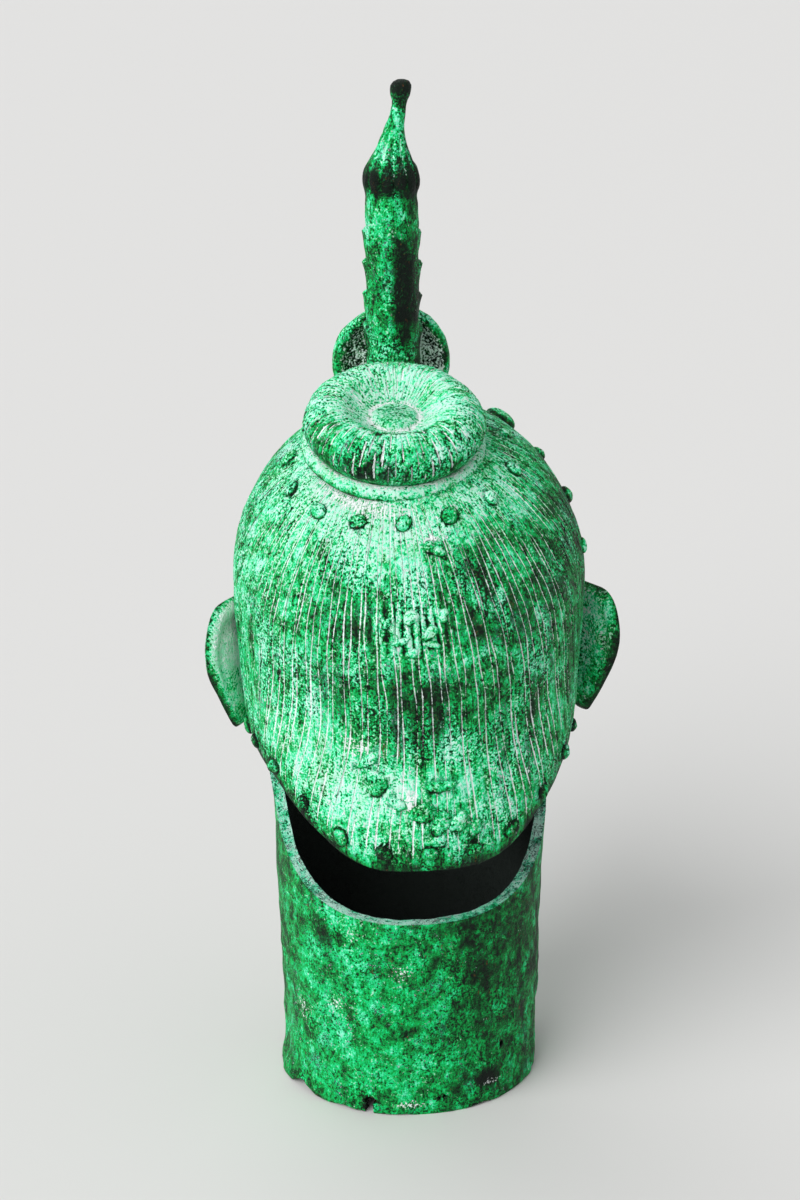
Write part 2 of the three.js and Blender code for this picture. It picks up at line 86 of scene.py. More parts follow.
NOSE_RISE_HIGH, NOSE_RISE_LOW, NOSE_TIP_RISE, NOSE_WING_RISE, NOSTRIL_DEPTH = 5.0, 15.5, 2.6, 8.5, 3.2
MUZZLE_RISE, UPPER_LIP_RISE, LOWER_LIP_RISE, LIP_PARTING_DEPTH, CHIN_RISE = 4.2, 3.9, 4.8, 1.8, 5.2
FRONT_REACH = [
    (0, NECK_FOOT_RADIUS), (110, 69), (132, 70), (142, 74), (150, 84), (156, 92.5), (CHIN, 98), (174, 98.5),
    (MOUTH, 98.5), (NOSE_BASE, 98.5), (225, 97), (EYES, 95.5), (BROWS, 96.5), (275, 95.5), (292, 93),
    (HAIRLINE, 90.5), (320, 78), (340, 52)]
SIDE_REACH = [
    (0, NECK_FOOT_RADIUS), (110, 69), (NECK_TOP, NECK_TOP_RADIUS), (CHIN, 72), (180, 75), (215, 80),
    (245, 82), (285, 81), (HAIRLINE, 76), (320, 66), (340, 44)]
BACK_REACH = [(0, NECK_FOOT_RADIUS - 1.5), (110, 69), (NECK_TOP, NECK_TOP_RADIUS), (340, 60)]


def along(profile, height):
    """Reads a smooth curve through stations of (height, value)."""
    z, value = np.array(profile, float).T
    slope = np.zeros_like(value)
    slope[1:-1] = (value[2:] - value[:-2]) / (z[2:] - z[:-2])
    k = np.clip(np.searchsorted(z, height) - 1, 0, len(z) - 2)
    step = z[k + 1] - z[k]
    t = np.clip((height - z[k]) / step, 0, 1)
    first = (2 * t**3 - 3 * t**2 + 1) * value[k] + (t**3 - 2 * t**2 + t) * step * slope[k]
    return first + (3 * t**2 - 2 * t**3) * value[k + 1] + (t**3 - t**2) * step * slope[k + 1]


def ease(low, high, value):
    t = np.clip((value - low) / (high - low), 0, 1)
    return t * t * (3 - 2 * t)


def hill(distance, reach):
    return np.exp(-((distance / reach) ** 2))


def points_of(piece):
    co = np.empty(len(piece.data.vertices) * 3)
    piece.data.vertices.foreach_get("co", co)
    return co.reshape(-1, 3)


def set_points(piece, points, tone=0.0, furrow=0.0, inside=0.0, cut=0.0, comb=None):
    """Moves a piece's vertices and gives it what the patina reads: comb is where its streaks are looked up,
    tone lightens or darkens it, as the patina's own mottling and in places as painted light and shade, furrow
    holds chalk, and own tells its vertices from those that a cut makes. Two marks are kept on its faces, so
    that they end cleanly at an edge: inside paints them dark grey as painted shade, cut is a bare edge."""
    mesh = piece.data
    mesh.vertices.foreach_set("co", ((points + NECK_AXIS) * MM).ravel())
    streaks = points * (1, 1, 0.6) if comb is None else comb
    mesh.attributes.new("comb", "FLOAT_VECTOR", "POINT").data.foreach_set("vector", streaks.ravel())
    for name, value in (("tone", tone), ("furrow", furrow), ("own", 1.0)):
        values = np.array(np.broadcast_to(np.asarray(value, float), len(points)))
        mesh.attributes.new(name, "FLOAT", "POINT").data.foreach_set("value", values)
    for name, value in (("inside", inside), ("cut", cut)):
        values = np.broadcast_to(np.asarray(value, float), len(points))
        marks = np.array([values[list(face.vertices)].min() for face in mesh.polygons])
        mesh.attributes.new(name, "FLOAT", "FACE").data.foreach_set("value", marks)
    mesh.update()


def new_ball(columns, rows):
    """A sphere of radius 1 and its vertices."""
    bpy.ops.mesh.primitive_uv_sphere_add(segments=columns, ring_count=rows, radius=1)
    return bpy.context.object, points_of(bpy.context.object)


def cast_skin(name, columns, rows, place, paint=None):
    """A closed skin from a sphere: place(turn, row) moves each vertex, row 0 and the last row being poles."""
    bpy.ops.object.select_all(action="DESELECT")
    piece, ball = new_ball(columns, rows)
    piece.name = piece.data.name = name
    x, y, z = ball.T
    row = np.rint(np.arccos(np.clip(z, -1, 1)) / math.pi * rows).astype(int)
    turn = np.rint(np.arctan2(y, x) / (2 * math.pi) * columns) % columns / columns
    set_points(piece, place(turn, row), **(paint(turn, row) if paint else {}))
    return piece


def rows_through(bands):
    """Heights of the rows from the foot up: each band is (top height, number of rows in it)."""
    heights = [bands[0][0]]
    for (low, _), (high, count) in zip(bands, bands[1:]):
        heights.extend(low + (high - low) * np.arange(1, count + 1) / count)
    return np.array(heights, float)[::-1]


def section(angle, height, inset_front=0.0, inset_side=0.0):
    """A level section of neck or head, by the angle from the face round to the nape. It is a little squarer
    than an ellipse."""
    power = 2 / SECTION_SQUARENESS
    across = np.sign(np.sin(angle)) * np.abs(np.sin(angle)) ** power
    forward = np.sign(np.cos(angle)) * np.abs(np.cos(angle)) ** power
    front, back = along(FRONT_REACH, height) - inset_front, along(BACK_REACH, height) - inset_side
    reach = np.where(forward > 0, front, back)
    shift = HEAD_SHIFT * ease(105, 175, height)
    return np.stack([shift + across * (along(SIDE_REACH, height) - inset_side), -forward * reach, height], -1)


def eye_relief(side, z):
    """Brow, eyeball in its socket, and the two lids with a crease over the upper one."""
    over_brow = z - (BROWS + 5 - 0.0085 * (side - 27) ** 2)
    brow = hill(over_brow, np.where(over_brow > 0, 8, 3.8)) * ease(3, 13, side) * (1 - ease(46, 60, side))
    ball = 1 - ((side - EYE_SPACING) / 18.5) ** 2 - ((z - EYES) / np.where(z > EYES, 13.5, 10.5)) ** 2
    relief = BROW_RISE * brow + EYEBALL_RISE * np.maximum(0, ball) ** 0.85
    inner_corner = 2.5 * hill(side - 14, 6) * hill(z - EYES - 5, 8)
    relief -= SOCKET_DEPTH * hill(side - 28, 19) * hill(z - EYES - 1, 12.5) + inner_corner
    out = np.abs((side - EYE_SPACING) / 16.5)
    bow = np.maximum(0, 1 - out * out)
    over_upper = z - (EYES + 0.8 + 6 * bow**0.85)
    under_lower = EYES + 0.3 - 4.6 * bow**0.9 - z
    near = 1 - ease(0.9, 1.12, out)
    relief -= LID_DEPTH * ease(-0.35, 0.55, -over_upper) * ease(-0.35, 0.55, -under_lower) * (out < 1)
    relief += near * (hill(over_upper - 1.2, 1.4) + 0.6 * hill(under_lower - 1.1, 1.3))
    return relief - hill(over_upper - 4.4, 1.3) * (1 - ease(0.85, 1.1, out))


def nose_relief(side, z):
    """A ridge that rises towards the tip, the tip, the wings, the folds beside them and the nostrils."""
    down = np.clip((BROWS + 2 - z) / (BROWS - 2 - NOSE_BASE), 0, 1)
    half = 6.4 + 3.8 * down**1.8 + 1.6 * hill(z - NOSE_BASE - 7, 8)
    ends = ease(NOSE_BASE - 3.5, NOSE_BASE + 2.5, z) * (1 - 0.9 * ease(BROWS - 8, BROWS + 12, z))
    relief = (NOSE_RISE_HIGH + NOSE_RISE_LOW * down**1.25) * np.exp(-((side / half) ** 2.4)) * ends
    relief += NOSE_TIP_RISE * hill(side, 8) * hill(z - NOSE_BASE - 8, 7.5)
    relief += NOSE_WING_RISE * hill(side - 14.2, 5.2) * hill(z - NOSE_BASE - 6.2, 6.6)
    relief -= 1.2 * hill(side - 21.5, 2.6) * hill(z - NOSE_BASE - 6, 7)
    return relief - NOSTRIL_DEPTH * hill(side - 7.8, 3) * hill(z - NOSE_BASE - 0.2, 2.2)


def mouth_relief(side, z):
    """Two full lips on a soft swelling, the groove under the nose and the chin."""
    out = np.clip(side / LIP_HALF_WIDTH, 0, 1)
    line = MOUTH + 0.6 - 1.6 * out**2 + 0.5 * hill(side, 5)
    upper_edge = line + 8.2 * (1 - out**2.2) ** 0.9 - 1.5 * hill(side, 3.4)
    lower_edge = line - 9.4 * (1 - out**2.4) ** 0.8
    upper = np.clip((z - line) / np.maximum(upper_edge - line, 0.3), 0, 1)
    lower = np.clip((line - z) / np.maximum(line - lower_edge, 0.3), 0, 1)
    ends = 1 - ease(0.86, 1, out)
    relief = MUZZLE_RISE * hill(side, 30) * hill(z - MOUTH, 17)
    relief += ends * (
        UPPER_LIP_RISE * np.sin(math.pi * upper**0.8) + LOWER_LIP_RISE * np.sin(math.pi * lower**0.8))
    relief += ends * (0.5 * hill(z - upper_edge - 0.2, 1.3) + 0.4 * hill(lower_edge - z + 0.2, 1.5))
    lip_corner = 1.2 * hill(side - 27.5, 4) * hill(z - line, 4)
    relief -= LIP_PARTING_DEPTH * hill(z - line, 1.1) * (1 - ease(22, 28, side)) + lip_corner
    philtrum = ease(upper_edge + 0.2, upper_edge + 2.5, z) * (1 - ease(NOSE_BASE - 5, NOSE_BASE - 2, z))
    relief += philtrum * (0.75 * hill(side - 4.6, 1.7) - 0.9 * hill(side, 2.4))
    relief -= 2.6 * hill(side, 17) * hill(z - MOUTH + 15.5, 4.2)
    return relief + CHIN_RISE * hill(side, 17) * hill(z - CHIN - 5, 10.5)


def face_relief(x, z):
    side = np.abs(x)
    cheek = CHEEK_RISE * hill(side - 45, 17) * hill(z - EYES + 27, 17)
    return eye_relief(side, z) + nose_relief(side, z) + mouth_relief(side, z) + cheek


# Chips in the foot: angle from the face, half width in degrees, height.
FOOT_CHIPS = [(146, 9, 2.2), (118, 9, 6.0), (-154, 6, 1.8), (168, 8, 1.2), (-20, 9, 2.0), (60, 6, 1.5)]
# The foot flares a little, most of all at one angle, and its very edge is worn back.
LIP_ANGLE = 100
FOOT_FLARE, LIP_FLARE, FOOT_WEAR = 0.8, 3.4, 0.9
NECK_ROWS = rows_through([(0, 0), (1, 1), (3, 1), (12, 3), (140, 32), (CHIN, 13), (NOSE_BASE, 42),
                          (BROWS + 6, 50), (HAIRLINE, 10), (330, 2)])


def neck_place(turn, row):
    s = 2 * turn - 1
    return math.pi * (0.36 * s + 0.64 * s**3), NECK_ROWS[np.clip(row - 1, 0, len(NECK_ROWS) - 1)]


def neck_and_face(turn, row):
    angle, height = neck_place(turn, row)
    points = section(angle, height)
    forward = np.maximum(0, np.cos(angle)) ** 0.7
    points[:, 1] -= face_relief(points[:, 0] - HEAD_SHIFT, height) * forward * ease(148, 158, height)
    flare = (FOOT_FLARE + LIP_FLARE * hill(angle - math.radians(LIP_ANGLE), 0.28)) * hill(height, 9)
    worn = FOOT_WEAR * hill(height, 0.9)
    points[:, :2] *= 1 + ((flare - worn) / NECK_FOOT_RADIUS)[:, None]
    for chip_angle, half_width, chip in FOOT_CHIPS:
        away = np.abs(np.degrees(angle) - chip_angle) / half_width
        points[:, 2] = np.maximum(points[:, 2], chip * np.maximum(0, 1 - away) ** 0.8)
    points[row == 0] = (HEAD_SHIFT, 0, 338)
    points[row > len(NECK_ROWS)] = (0, 0, 0)
    return points


# Patches where the neck is painted lighter or darker: degrees from the face, height, reaches, strength.
# Some are the patina's own mottling; others are painted light on the neck's lit left, as the camera sees
# it, and painted shade on its right.
NECK_PATCHES = [
    (150, 60, 40, 60, 0.4), (-175, 40, 30, 18, 0.1), (-150, 78, 18, 50, -0.3), (-152, 16, 6, 6, -1.8),
    (170, 20, 40, 10, 0.25), (140, 130, 20, 30, 0.35), (-120, 90, 25, 60, -0.1), (137, 100, 5, 8, -0.8),
    (165, 52, 9, 14, -0.35), (-167, 50, 10, 20, -0.3), (-160, 104, 9, 10, -0.4), (155, 112, 12, 8, 0.3)]
# Crusts of chalk on the neck: degrees from the face, height, reaches, strength.
NECK_CRUSTS = [
    (172, 84, 7, 10, 0.36), (142, 62, 9, 12, 0.36), (119, 50, 11, 16, 0.34), (-149, 13, 10, 4, 0.4),
    (174, 6, 12, 4, 0.38), (166, 62, 8, 12, 0.26), (-170, 96, 8, 10, 0.26), (150, 104, 9, 12, 0.3),
    (-165, 42, 6, 9, 0.3)]
NECK_TONE = -0.22


def spots(degrees, level, places):
    """The sum of soft spots laid out by degrees and level."""
    total = np.zeros_like(level)
    for middle, height, width, rise, strength in places:
        away = (degrees - middle + 180) % 360 - 180
        total += strength * hill(away, width) * hill(level - height, rise)
    return total


def neck_paint(turn, row):
    angle, height = neck_place(turn, row)
    degrees = np.degrees(angle)
    tone = spots(degrees, height, NECK_PATCHES) + NECK_TONE
    return {"tone": tone, "furrow": spots(degrees, height, NECK_CRUSTS)}


HOLLOW_ROWS = rows_through([(-6, 0), (120, 6), (145, 3), (CHIN, 4), (260, 8), (HAIRLINE, 4), (325, 3)])
WALL, FACE_WALL = 5.0, 10.0


def neck_hollow(turn, row):
    height = HOLLOW_ROWS[np.clip(row - 1, 0, len(HOLLOW_ROWS) - 1)]
    inset = WALL + (FACE_WALL - WALL) * ease(140, 175, height) * (1 - 0.5 * ease(275, 300, height))
    points = section(math.pi * (2 * turn - 1), np.maximum(0, height), inset, WALL + 0.6)
    points[:, 2] = height
    points[row == 0] = (HEAD_SHIFT, 0, 326)
    points[row > len(HOLLOW_ROWS)] = (0, 0, -6)
    return points


CUT_LOW, CUT_RISE, CUT_CURVE = 112.5, 52.0, 2.8
CUT_HALF_TURN, CUT_END, OVER_ALL = 98, 112, 345


def nape_cutter(turn, row):
    """All that stands over the U-shaped cut in the back of the neck."""
    from_nape = np.abs((360 * turn + 90) % 360 - 180)
    within = CUT_LOW + CUT_RISE * (from_nape / 90) ** CUT_CURVE
    beyond = within + (OVER_ALL - within) * ease(CUT_HALF_TURN, CUT_END, from_nape)
    cut = np.where(from_nape <= CUT_HALF_TURN, within, beyond)
    reach = np.where(row == 3, 52, 115)
    height = np.where(row == 1, 348, np.minimum(346, cut))
    points = np.stack([reach * np.cos(2 * math.pi * turn), reach * np.sin(2 * math.pi * turn), height], -1)
    points[row == 0] = (0, 0, 348)
    points[row == 4] = (0, 0, 220)
    return points


# Faces marked inside, the walls of the hollows, are painted dark grey as painted shade.
def in_the_dark(turn, row):
    return {"inside": 1.0}


def on_the_edge(turn, row):
    return {"cut": 1.0}


def combine(piece, other, operation):
    """Joins another closed piece to this one, or cuts it away."""
    change = piece.modifiers.new("combine", "BOOLEAN")
    change.object = other
    change.operation = operation
    change.solver = "MANIFOLD"
    bpy.context.view_layer.objects.active = piece
    bpy.ops.object.modifier_apply(modifier=change.name)
    bpy.data.objects.remove(other)


head = cast_skin("bronze_head_casting", 232, len(NECK_ROWS) + 1, neck_and_face, neck_paint)
combine(head, cast_skin("neck_hollow", 72, len(HOLLOW_ROWS) + 1, neck_hollow, in_the_dark), "DIFFERENCE")
combine(head, cast_skin("nape_cut", 160, 4, nape_cutter, on_the_edge), "DIFFERENCE")
# Holes eaten through near the foot, as angle from the face, height, half width and half height. The first
# two make a notch in the foot.
FOOT_HOLES = [
    (155, 0, 2.3, 8.5), (155.5, 7.6, 3.4, 2.0), (-173.4, 9.5, 1.2, 1.3), (-171, 9.9, 1.0, 1.1),
    (-142, 32, 1.1, 1.3)]
HOLE_REACH = 12
for degrees, height, half_width, half_height in FOOT_HOLES:
    hole, ball = new_ball(14, 8)
    ball = ball * (half_width, HOLE_REACH, half_height)
    toward = math.radians(degrees)
    hole_x = (NECK_FOOT_RADIUS + ball[:, 1]) * math.sin(toward) - ball[:, 0] * math.cos(toward)
    hole_y = -(NECK_FOOT_RADIUS + ball[:, 1]) * math.cos(toward) - ball[:, 0] * math.sin(toward)
    # The walls of each hole are painted dark, as painted shade inside it.
    set_points(hole, np.stack([hole_x, hole_y, ball[:, 2] + height], -1), tone=-1.2)
    combine(head, hole, "DIFFERENCE")
# The top of this wall is cut off on a slope from the hairline to the back, because the cap of hair closes
# the crown.
CROWN_SLOPE, CROWN_CUT_Y, CROWN_CUT_Z = 0.5, -95, 316
CROWN_CUT_SIZE = (260, 320, 160)
bpy.ops.mesh.primitive_cube_add(size=1)
crown_cut = bpy.context.object
crown_corners = (points_of(crown_cut) + (0, 0, 0.5)) * CROWN_CUT_SIZE
crown_lean = math.atan(CROWN_SLOPE)
turned_y = crown_corners[:, 1] * math.cos(crown_lean) + crown_corners[:, 2] * math.sin(crown_lean)
turned_z = crown_corners[:, 2] * math.cos(crown_lean) - crown_corners[:, 1] * math.sin(crown_lean)
set_points(crown_cut, np.stack([crown_corners[:, 0], turned_y + CROWN_CUT_Y, turned_z + CROWN_CUT_Z], -1))
combine(head, crown_cut, "DIFFERENCE")

# Hair. A close cap of combed hair modelled in the wax: fine furrows run from the crown to the border, and
# over the nape the border flares out into a thick studded brim. The furrows are cut as narrow channels,
# four columns of the skin to each one, and the skin turns in round the border to make the cap's wall.
DOME_HALF_WIDTH, DOME_HALF_DEPTH, DOME_RISE = 87.4, 97.5, 88.0
FALL_SIDE, FALL_BACK = 160.0, 255.0
LEAN, LOW_LEAN = math.radians(18), math.radians(4)
HEAD_CENTRE = 273.0
NAPE_HEIGHT, SIDE_HEIGHT = 155.5, 194.0
BRIM_FLARE, BRIM_FLARE_FRONT, BRIM_FLARE_REACH = 13.0, 2.0, 20.0
CAP_WALL, BRIM_WALL = 6.0, 5.0
BUN_CENTRE = np.array([7.9, 28.5, 361.5])
BUN_LEAN = math.radians(18)
BUN_AXIS = np.array([0.0, math.sin(BUN_LEAN), math.cos(BUN_LEAN)])
FURROWS = 128
FURROW_DEPTH, FURROW_HALF_WIDTH = 0.75, 0.46


def border_height(from_nape):
    side = (SIDE_HEIGHT - NAPE_HEIGHT) * ease(14, 66, from_nape)
    return NAPE_HEIGHT + side + (HAIRLINE - SIDE_HEIGHT) * ease(92, 165, from_nape)


def dome_point(direction):
    """The hair's leaning dome, for directions on the unit sphere: x to the side, y to the back, z up."""
    x, y, z = direction.T
    turn = np.hypot(x, y)
    toward_back = np.maximum(0, y / np.maximum(turn, 1e-9))
    fall = FALL_SIDE + (FALL_BACK - FALL_SIDE) * toward_back**2
    up = z * np.where(z > 0, DOME_RISE, fall)
    back = y * DOME_HALF_DEPTH
    fall_lean = LOW_LEAN + (LEAN - LOW_LEAN) * ease(-0.35, 0.35, z)
    return np.stack([
        HEAD_SHIFT * ease(-0.6, 0, z) + x * DOME_HALF_WIDTH,
        back * math.cos(LEAN) + up * np.sin(fall_lean),
        HEAD_CENTRE - back * math.sin(LEAN) + up * np.cos(fall_lean)], -1)


def border_direction(angle):
    """Where the meridian at an angle from the nape meets the border, found by halving."""
    height = border_height(np.abs(np.degrees((angle + math.pi) % (2 * math.pi) - math.pi)))
    low = np.full_like(angle, math.radians(20))
    high = np.full_like(angle, math.radians(160))
    for _ in range(26):
        polar = (low + high) / 2
        out = np.sin(polar)
        direction = np.stack([out * np.sin(angle), out * np.cos(angle), np.cos(polar)], -1)
        above = dome_point(direction)[:, 2] > height
        low = np.where(above, polar, low)
        high = np.where(above, high, polar)
    return direction


crown_x = (BUN_CENTRE[0] - HEAD_SHIFT) / DOME_HALF_WIDTH
CROWN = np.array([crown_x, 0.0, math.sqrt(1 - crown_x**2)])


def hair_point(angle, t):
    """A point on a meridian of hair: t is 0 at the crown and 1 at the border."""
    end = border_direction(angle)
    between = np.arccos(np.clip(end @ CROWN, -1, 1))
    share = (np.sin((1 - t) * between) / np.sin(between))[:, None]
    direction = share * CROWN + (np.sin(t * between) / np.sin(between))[:, None] * end
    point = dome_point(direction)
    behind = (1 + np.cos(angle)) / 2
    flare = BRIM_FLARE_FRONT + (BRIM_FLARE - BRIM_FLARE_FRONT) * behind**4
    flare = flare * hill((1 - t) * between * DOME_HALF_DEPTH, BRIM_FLARE_REACH)
    point[:, 0] += flare * np.sin(angle)
    point[:, 1] += flare * np.cos(angle)
    return point


def hair_normal(angle, t):
    step = 0.01
    at = np.maximum(t, 0.02)
    down = hair_point(angle, np.minimum(1, at + step)) - hair_point(angle, at - step)
    round_it = hair_point(angle + step, at) - hair_point(angle - step, at)
    normal = -np.cross(down, round_it)
    normal /= np.linalg.norm(normal, axis=1)[:, None]
    return np.where((t > 0)[:, None], normal, BUN_AXIS)


def furrow_angle(index):
    """The angle of each furrow round the crown: their spacing is a little uneven, as a hand leaves it."""
    return 2 * math.pi * (index + 0.22 * np.sin(2.9 * index)) / FURROWS


CAP_OUTSIDE, CAP_EDGE, CAP_INSIDE = 72, 3, 8
CAP_ROWS = CAP_OUTSIDE + CAP_EDGE + CAP_INSIDE


def cap_inside(angle, t, wall_less=0.0):
    wall = CAP_WALL + (BRIM_WALL - CAP_WALL) * t - wall_less
    return hair_point(angle, t) - hair_normal(angle, t) * wall[:, None]


def hair_furrow(column):
    """Which furrow a column belongs to, and its place in it: -1 and 1 are the shoulders and 2 the ridge."""
    return column // 4, np.array([0.0, 1.0, 2.0, -1.0])[column % 4]


def cap_t(row):
    """How far down the meridian a row lies: the rows are wide apart under the bun and close over the hair."""
    share = np.clip(row / CAP_OUTSIDE, 0, 1)
    return np.where(share < 0.05, 3.6 * share, 0.18 + 0.82 * (share - 0.05) / 0.95)


def in_ribbed_patch(from_nape, t):
    """A corroded patch at the back of the head, where the chalk of the furrows stands as ribs over pits."""
    degrees = (np.degrees(from_nape) + 180) % 360 - 180
    return np.clip(1.5 * hill(degrees - 3, 12) * hill(t - 0.595, 0.06), 0, 1)


def cap_angle(column, t):
    index, place = hair_furrow(column)
    index = index + (place == -1) * 1.0
    centre = furrow_angle(index)
    next_centre = furrow_angle(index + 1)
    apart = next_centre - centre
    wander = (0.12 * np.sin(9 * t + 2.4 * index) + 0.07 * np.sin(31 * t + 1.7 * index)) * apart
    shoulder = np.minimum(FURROW_HALF_WIDTH / (apart * DOME_HALF_WIDTH), 0.22) * apart
    shoulder = shoulder * (1 + 0.6 * in_ribbed_patch(math.pi - centre, t))
    offset = np.where(place == 2, apart / 2, place * shoulder)
    from_nape = math.pi - (centre + offset + wander)
    return from_nape + 0.3 * (from_nape + 0.1) * hill(from_nape, 0.8) * ease(0.84, 1, t)


def furrow_strength(column, t):
    """Furrows fade in from the collar, and some break off or run shallow in worn places."""
    index, _ = hair_furrow(column)
    worn = 0.5 + 0.5 * np.sin(3.1 * index + 1.3 * np.sin(7 * t + index))
    broken = ease(0.66, 0.86, t) * ease(-0.2, 0.6, np.sin(38 * t + 4.3 * index))
    return ease(0.2, 0.33, t) * (1 - ease(0.965, 1, t)) * (0.62 + 0.38 * worn) * (1 - 0.5 * broken)


def hair_place(turn, row):
    """Where a vertex of the cap lies: its column, t, angle, place in the furrow and share of the patch."""
    column = np.rint(turn * FURROWS * 4).astype(int)
    t = cap_t(row)
    angle = cap_angle(column, t)
    return column, t, angle, hair_furrow(column)[1], in_ribbed_patch(angle, t)


def hair_cap(turn, row):
    column, t, angle, place, patch = hair_place(turn, row)
    normal = hair_normal(angle, t)
    deep = -FURROW_DEPTH * (1 - 2.6 * patch)
    between = 0.3 - patch * (0.9 + 0.9 * ease(-0.2, 0.5, np.sin(2.3 * column + 170 * t)))
    shoulder = 0.7 * patch
    depth = np.where(place == 0, deep, np.where(place == 2, between, shoulder)) * furrow_strength(column, t)
    points = hair_point(angle, t) + normal * depth[:, None]
    edge = row - CAP_OUTSIDE
    on_edge = (edge > 0) & (edge <= CAP_EDGE)
    around = math.pi * edge / (CAP_EDGE + 1)
    rim = hair_point(angle, np.ones_like(t)) - normal * (BRIM_WALL / 2 * (1 - np.cos(around)))[:, None]
    rim[:, 2] -= 1.9 * np.sin(around)
    points = np.where(on_edge[:, None], rim, points)
    inner_t = np.clip((CAP_ROWS - row) / CAP_INSIDE, 0, 1)
    inner = cap_inside(angle, inner_t)
    return np.where((edge > CAP_EDGE)[:, None], inner, points)


# Patches where the hair is painted lighter or darker: degrees from the nape, t, reaches, strength. Some
# are the patina's own mottling; the pale ones high on the left and on the up-turned flare of the brim are
# painted light, and the dark ones over the right side are painted shade.
HAIR_PATCHES = [
    (25, 0.3, 60, 0.09, 1.05), (-60, 0.3, 40, 0.12, 0.3), (10, 0.42, 24, 0.07, 0.45),
    (48, 0.5, 16, 0.16, 0.3), (34, 0.45, 9, 0.07, -0.4), (-24, 0.46, 14, 0.07, -0.45),
    (-20, 0.61, 24, 0.06, -0.45), (28, 0.6, 13, 0.045, -0.55), (-45, 0.56, 16, 0.1, -0.2),
    (20, 0.68, 20, 0.07, 0.05), (-1, 0.82, 6, 0.09, -0.7), (9, 0.8, 5, 0.09, -0.45),
    (-40, 0.75, 25, 0.15, -0.15), (75, 0.6, 22, 0.3, 0.35), (26, 0.91, 26, 0.06, 1.0),
    (2, 0.91, 14, 0.05, 0.5), (-26, 0.93, 18, 0.05, 0.25), (-5, 0.94, 7, 0.03, -0.45),
    (-85, 0.6, 30, 0.4, -0.45), (180, 0.6, 70, 0.4, 0.1), (5, 0.8, 20, 0.07, -0.2),
    (-30, 0.4, 16, 0.1, -0.2), (14, 0.52, 12, 0.06, -0.3), (0, 0.68, 16, 0.035, 0.35)]
# Crusts of chalk on the hair, in the same terms.
HAIR_CRUSTS = [
    (21, 0.862, 9, 0.009, 0.55), (5, 0.925, 4, 0.02, 0.5), (-12, 0.36, 5, 0.02, 0.55),
    (30, 0.27, 40, 0.03, 0.4), (50, 0.9, 16, 0.06, 0.3), (-40, 0.9, 14, 0.05, 0.25), (-8, 0.7, 5, 0.02, 0.3),
    (18, 0.96, 12, 0.02, 0.25)]


def hair_paint(turn, row):
    column, t, angle, place, patch = hair_place(turn, row)
    degrees = np.degrees(angle)
    edge = row - CAP_OUTSIDE
    pitted = ease(-0.2, 0.5, np.sin(2.3 * column + 170 * t))
    tone = 0.1 + spots(degrees, t, HAIR_PATCHES) + patch * np.where(place == 2, -0.8 - 1.1 * pitted, 1.3)
    tone = np.where(edge > 0, -0.7, tone - 0.7 * ease(0.985, 1, t))
    lined = np.where(place == 0, 1.06 * furrow_strength(column, t) * (1 - 0.7 * patch), 0)
    furrow = (lined + spots(degrees, t, HAIR_CRUSTS)) * (edge <= 0)
    comb = np.stack([DOME_HALF_WIDTH * np.sin(angle), DOME_HALF_WIDTH * np.cos(angle), 80 * t], -1)
    return {"tone": tone, "furrow": furrow, "inside": edge > CAP_EDGE, "comb": comb}


def cap_room(turn, row):
    """The room under the cap, which what stands on the cap must not fill."""
    points = cap_inside(math.pi * (1 - 2 * turn), np.minimum(row, CAP_INSIDE - 1) / CAP_INSIDE, 0.5)
    points[row == CAP_INSIDE] = (HEAD_SHIFT, 0, CHIN)
    return points


def made_room():
    return cast_skin("cap_room", 112, CAP_INSIDE, cap_room, in_the_dark)


combine(head, cast_skin("hair_cap", FURROWS * 4, CAP_ROWS, hair_cap, hair_paint), "UNION")

# Bun. A ring-shaped pad of hair with a boss in its dimple, cast on the back of the crown over a rounded
# collar. It is turned as a profile about its own leaning axis, and creased all round by radial furrows.
BUN_PROFILE = [
    (0, 4.9), (5, 4.8), (8.8, 4.3), (10.2, 3.1), (11.6, 2.0), (14.5, 2.6), (19, 5.8), (21, 7.2), (22.3, 8.2),
    (23.6, 9.4), (25, 10.3), (26.5, 10.8), (28, 11.2), (29.5, 11.3), (31, 11.3), (34, 10.7), (36.8, 9.4),
    (39.4, 7.4), (41.6, 4.8), (43, 2), (43.5, -1), (43, -4), (41.6, -6.8), (39.6, -9), (38.4, -11),
    (39.5, -13.5), (41, -16), (40, -23), (0, -25)]
BUN_FURROWS, BUN_FURROW_DEPTH, BUN_RIDGE_RISE = 76, 1.1, 0.35
LIP_RADIUS, LIP_DROP = 25.6, 1.2
COLLAR_RADIUS, COLLAR_ROLL, COLLAR_DROP = 40.5, 3.8, 13.5


def stood_on(points, centre, axis):
    """Turns points about the origin so that +Z stands along an axis, and moves them to a centre."""
    turn = Vector((0, 0, 1)).rotation_difference(Vector(axis)).to_matrix()
    return points @ np.array(turn).T + centre


def bun_crease(turn, row):
    """The angle of each column of the bun, and how strongly it is creased or raised there."""
    column = np.rint(turn * BUN_FURROWS * 4).astype(int)
    radius, rise = np.array(BUN_PROFILE, float)[row].T
    spot, index = column % 4, column // 4
    spread = np.array([0.0, 0.16, 0.5, 0.84])[spot]
    angle = 2 * math.pi * (index + spread + 0.1 * np.sin(0.31 * row + 1.7 * index)) / BUN_FURROWS
    broken = np.clip(0.62 + 0.6 * np.sin(2.3 * index + 0.9 * row), 0.1, 1)
    creased = ease(13, 20, radius) * ease(-9, -4, rise) * broken
    return angle, creased * (spot == 0), creased * (spot == 2)


def bun_lip(angle, radius):
    """The front of the bun's dimple has a wavy lip with a dark line of painted shade under it."""
    wave = 1.3 * np.sin(7 * angle) + 1.1 * np.sin(17 * angle)
    in_front = hill(np.degrees(angle) - 88, 46) * hill(radius - LIP_RADIUS - wave, 1.8)
    return in_front * (0.8 + 0.2 * np.sin(23 * angle))


